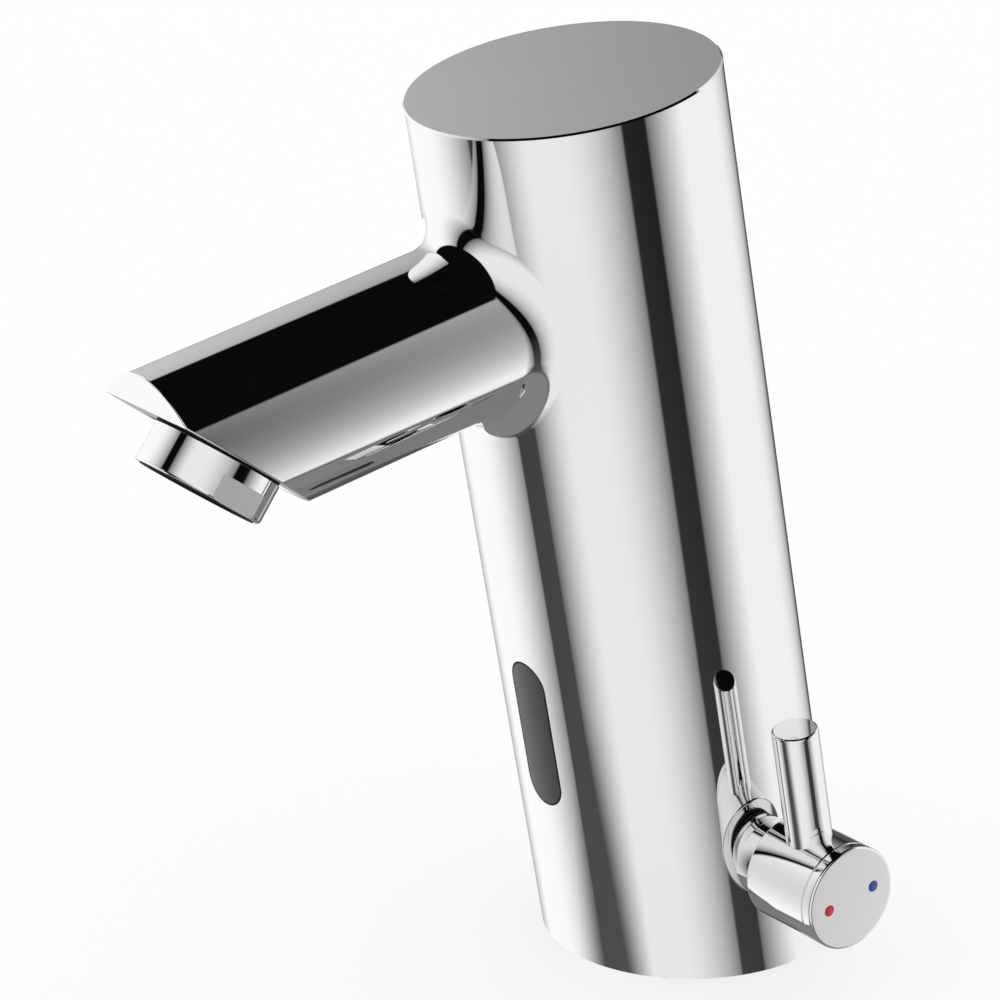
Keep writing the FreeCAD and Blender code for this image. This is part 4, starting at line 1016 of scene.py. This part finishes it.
def make_seal():
    """The thin black seal, which shows as a dark line round the lens."""
    bm = bmesh.new()
    section = [(SEAL_GAP, SEAL_TOP), (SEAL_GAP, SEAL_FOOT), (SEAL_WIDTH - SEAL_GAP, SEAL_FOOT),
               (SEAL_WIDTH - SEAL_GAP, SEAL_TOP)]
    rings = [rolled_ring(bm, slot_outline(WINDOW_HALF - inset), column_radius - depth)
             for inset, depth in section]
    for index in range(4):
        build_wall(bm, rings[index - 1], rings[index])
    place_piece(bm, "lens_seal", "column", "black_rubber", ["window_seal"])


def make_lens():
    """The dark lens, with a fine eased edge."""
    bm = bmesh.new()
    outline = slot_outline(WINDOW_HALF - SEAL_WIDTH)
    front = lens_skin(bm, column_radius, outline)
    build_wall(bm, front, lens_skin(bm, column_radius - LENS_DEPTH, outline))
    ease(bm, ring_edges(bm, front), LENS_EASE)
    place_piece(bm, "sensor_lens", "column", "window_plastic", ["sensor_window"])


make_seal()
make_lens()

# %% [markdown]
# ## The springs inside
#
# Each closing spring is a steel coil between a fixed seat and the piece that it pushes, and it gets
# shorter as that piece lifts. A rigid coil can't do that, and the piece would run into it. Here a
# copy of each coil, with a mesh of its own, stands in for it. Nothing in this script shortens it.

# %% Copies of the springs
for joint in frame["joints"]:
    for spring in joint.get("deforming_nodes", []):
        coil = bmesh.new()
        coil.from_mesh(frame["nodes"][spring["node"]].data)
        piece = place_piece(coil, spring["node"] + "_coil", "column", "stainless", [spring["node"]],
                            place=Matrix())
        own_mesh(piece)

# %% [markdown]
# ## Finishes
#
# Chrome plate is a mirror, but never a perfect one: it keeps a trace of the polishing underneath,
# and its gloss changes a little from place to place. Both are too small to see as a pattern, and
# still make the difference between metal and a computed mirror. Moulded and machined surfaces
# change too, only more, so all finishes share one group of nodes, each with its own values.

# %% Shared effects
BUMP_DEPTH, FINER, DRIFT = 0.01 * MM, 14, (0.35, 0.65)


def make_polish():
    """Fine unevenness: a slow change for gloss and tone, and a faint height for the surface."""
    group, given, result = new_group("polish", {"Scale": 60, "Low": 0.02, "High": 0.05}, {
        "Roughness": "Float", "Height": "Float", "Tone": "Float"})
    place, value = add_node(group, "TexCoord").outputs["Object"], given.outputs
    slow = add_node(group, "TexNoise", {"Vector": place, "Scale": value["Scale"], "Detail": 3})
    finer = calculate(group, "MULTIPLY", value["Scale"], FINER)
    fine = add_node(group, "TexNoise", {"Vector": place, "Scale": finer, "Detail": 2})
    rough = spread(group, slow.outputs[0], *DRIFT, value["Low"], value["High"])
    group.links.new(rough, result.inputs["Roughness"])
    group.links.new(fine.outputs[0], result.inputs["Height"])
    group.links.new(slow.outputs[0], result.inputs["Tone"])
    return group


polish = make_polish()


def new_finish(name, colour, other, metallic, scale, low, high, bump=0):
    """A finish whose colour drifts between two tones and whose gloss follows the polish."""
    material = bpy.data.materials.new(name)
    material.use_nodes = True
    tree = material.node_tree
    shader = tree.nodes["Principled BSDF"]
    effect = use_group(tree, polish, scale=scale, low=low, high=high).outputs
    tone = spread(tree, effect["Tone"], *DRIFT)
    mix = add_node(tree, "Mix", {"Factor": tone, "A": (*colour, 1), "B": (*other, 1)},
                   data_type="RGBA")
    tree.links.new(mix.outputs[2], shader.inputs["Base Color"])
    tree.links.new(effect["Roughness"], shader.inputs["Roughness"])
    if bump:
        bumped = add_node(tree, "Bump", {"Height": effect["Height"], "Strength": bump,
                                         "Distance": BUMP_DEPTH})
        tree.links.new(bumped.outputs[0], shader.inputs["Normal"])
    shader.inputs["Metallic"].default_value = metallic
    return material


print("shared effects ready")

# %% [markdown]
# The chrome is one metal in four finishes: the larger a piece, the slower its polish changes. Its
# grey is near 0.88, because chrome reflects a little less than all the light, without a tint.

# %% Chrome
CHROME, CHROME_DEEP = (0.88, 0.88, 0.88), (0.865, 0.865, 0.866)
CHROME_ROUGHNESS = (0.015, 0.03)


def chrome(name, scale):
    """Polished chrome plate."""
    return new_finish(name, CHROME, CHROME_DEEP, 1, scale, *CHROME_ROUGHNESS)


finishes = {
    "chromed_casting": chrome("chromed_casting_polish", 25),
    "chromed_lid": chrome("chromed_lid_polish", 30),
    "chromed_trim": chrome("chromed_trim_polish", 60),
    "chromed_aerator": chrome("chromed_aerator_polish", 60),
}
print("chrome finishes:", len(finishes))

# %% [markdown]
# Everything else is moulded, machined or drawn. Each finish has two close tones, a range of
# roughness and a strength of fine bump. The rubber also colours the rings of painted shade at the
# neck and the nose, and gets little gloss, to keep its thin lines black.

# %% Plastics, rubber, the marks and the pieces inside
# slot, finish, first tone, second tone, metallic, scale, least and most roughness, bump
OTHER_FINISHES = [
    ("window_plastic", "dark_lens", (0.006, 0.006, 0.007), (0.009, 0.009, 0.01),
     0, 60, 0.03, 0.06, 0),
    ("black_rubber", "moulded_rubber_and_painted_shade", (0.006, 0.006, 0.006), (0.012, 0.012, 0.012),
     0, 60, 0.5, 0.7, 0.3),
    ("hot_red", "red_inlay", (0.46, 0.008, 0.022), (0.5, 0.012, 0.028), 0, 60, 0.15, 0.25, 0),
    ("cold_blue", "blue_inlay", (0.018, 0.045, 0.22), (0.025, 0.055, 0.25),
     0, 60, 0.15, 0.25, 0),
    ("bare_brass", "machined_brass", (0.72, 0.55, 0.27), (0.62, 0.45, 0.2),
     1, 120, 0.22, 0.4, 0.15),
    ("grey_plastic", "grey_moulding", (0.42, 0.43, 0.44), (0.48, 0.49, 0.5),
     0, 60, 0.35, 0.5, 0.15),
    ("valve_plastic", "valve_moulding", (0.06, 0.062, 0.066), (0.085, 0.087, 0.09),
     0, 60, 0.35, 0.5, 0.15),
    ("white_plastic", "white_moulding", (0.74, 0.74, 0.73), (0.8, 0.8, 0.79),
     0, 60, 0.35, 0.45, 0.1),
    ("alumina", "lapped_ceramic", (0.85, 0.84, 0.81), (0.89, 0.88, 0.86), 0, 200, 0.12, 0.2, 0),
    ("stainless", "drawn_steel", (0.6, 0.6, 0.6), (0.68, 0.68, 0.68), 1, 150, 0.2, 0.35, 0.1),
    ("coil_resin", "coil_moulding", (0.035, 0.035, 0.04), (0.05, 0.05, 0.055),
     0, 60, 0.4, 0.55, 0.2),
    ("board_green", "coated_board", (0.02, 0.16, 0.06), (0.03, 0.21, 0.08),
     0, 150, 0.2, 0.3, 0),
    ("clear_resin", "diode_resin", (0.25, 0.2, 0.3), (0.32, 0.26, 0.38), 0, 60, 0.08, 0.14, 0),
    ("battery_sleeve", "battery_wrap", (0.5, 0.52, 0.56), (0.58, 0.6, 0.64),
     0, 80, 0.2, 0.3, 0),
    ("dark_insert", "dark_outlet_moulding", (0.03, 0.03, 0.032), (0.045, 0.045, 0.048),
     0, 150, 0.4, 0.55, 0.15),
]
for slot, *values in OTHER_FINISHES:
    finishes[slot] = new_finish(*values)
rubber = finishes["black_rubber"].node_tree.nodes["Principled BSDF"]
rubber.inputs["Specular IOR Level"].default_value = 0.15
print("finishes:", len(finishes))

# %% [markdown]
# A CAD node's material slots carry the record's names, so each finds its finish by name. Only the
# aerator's insert is darker than its slot says. A new piece takes the finish of its slot.

# %% Give every piece and every node its finish
for node, piece in frame["nodes"].items():
    for holder in piece.material_slots:
        name = holder.material.name.split(".")[0] if holder.material else ""
        if name not in finishes:
            print("no finish named", name, "for", node)
        if node == "aerator_insert":
            name = "dark_insert"
        holder.material = finishes.get(name, finishes["grey_plastic"])
for piece in bpy.data.objects:
    if "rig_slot" in piece and piece.type == "MESH" and not piece.data.materials:
        piece.data.materials.append(finishes[piece["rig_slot"]])
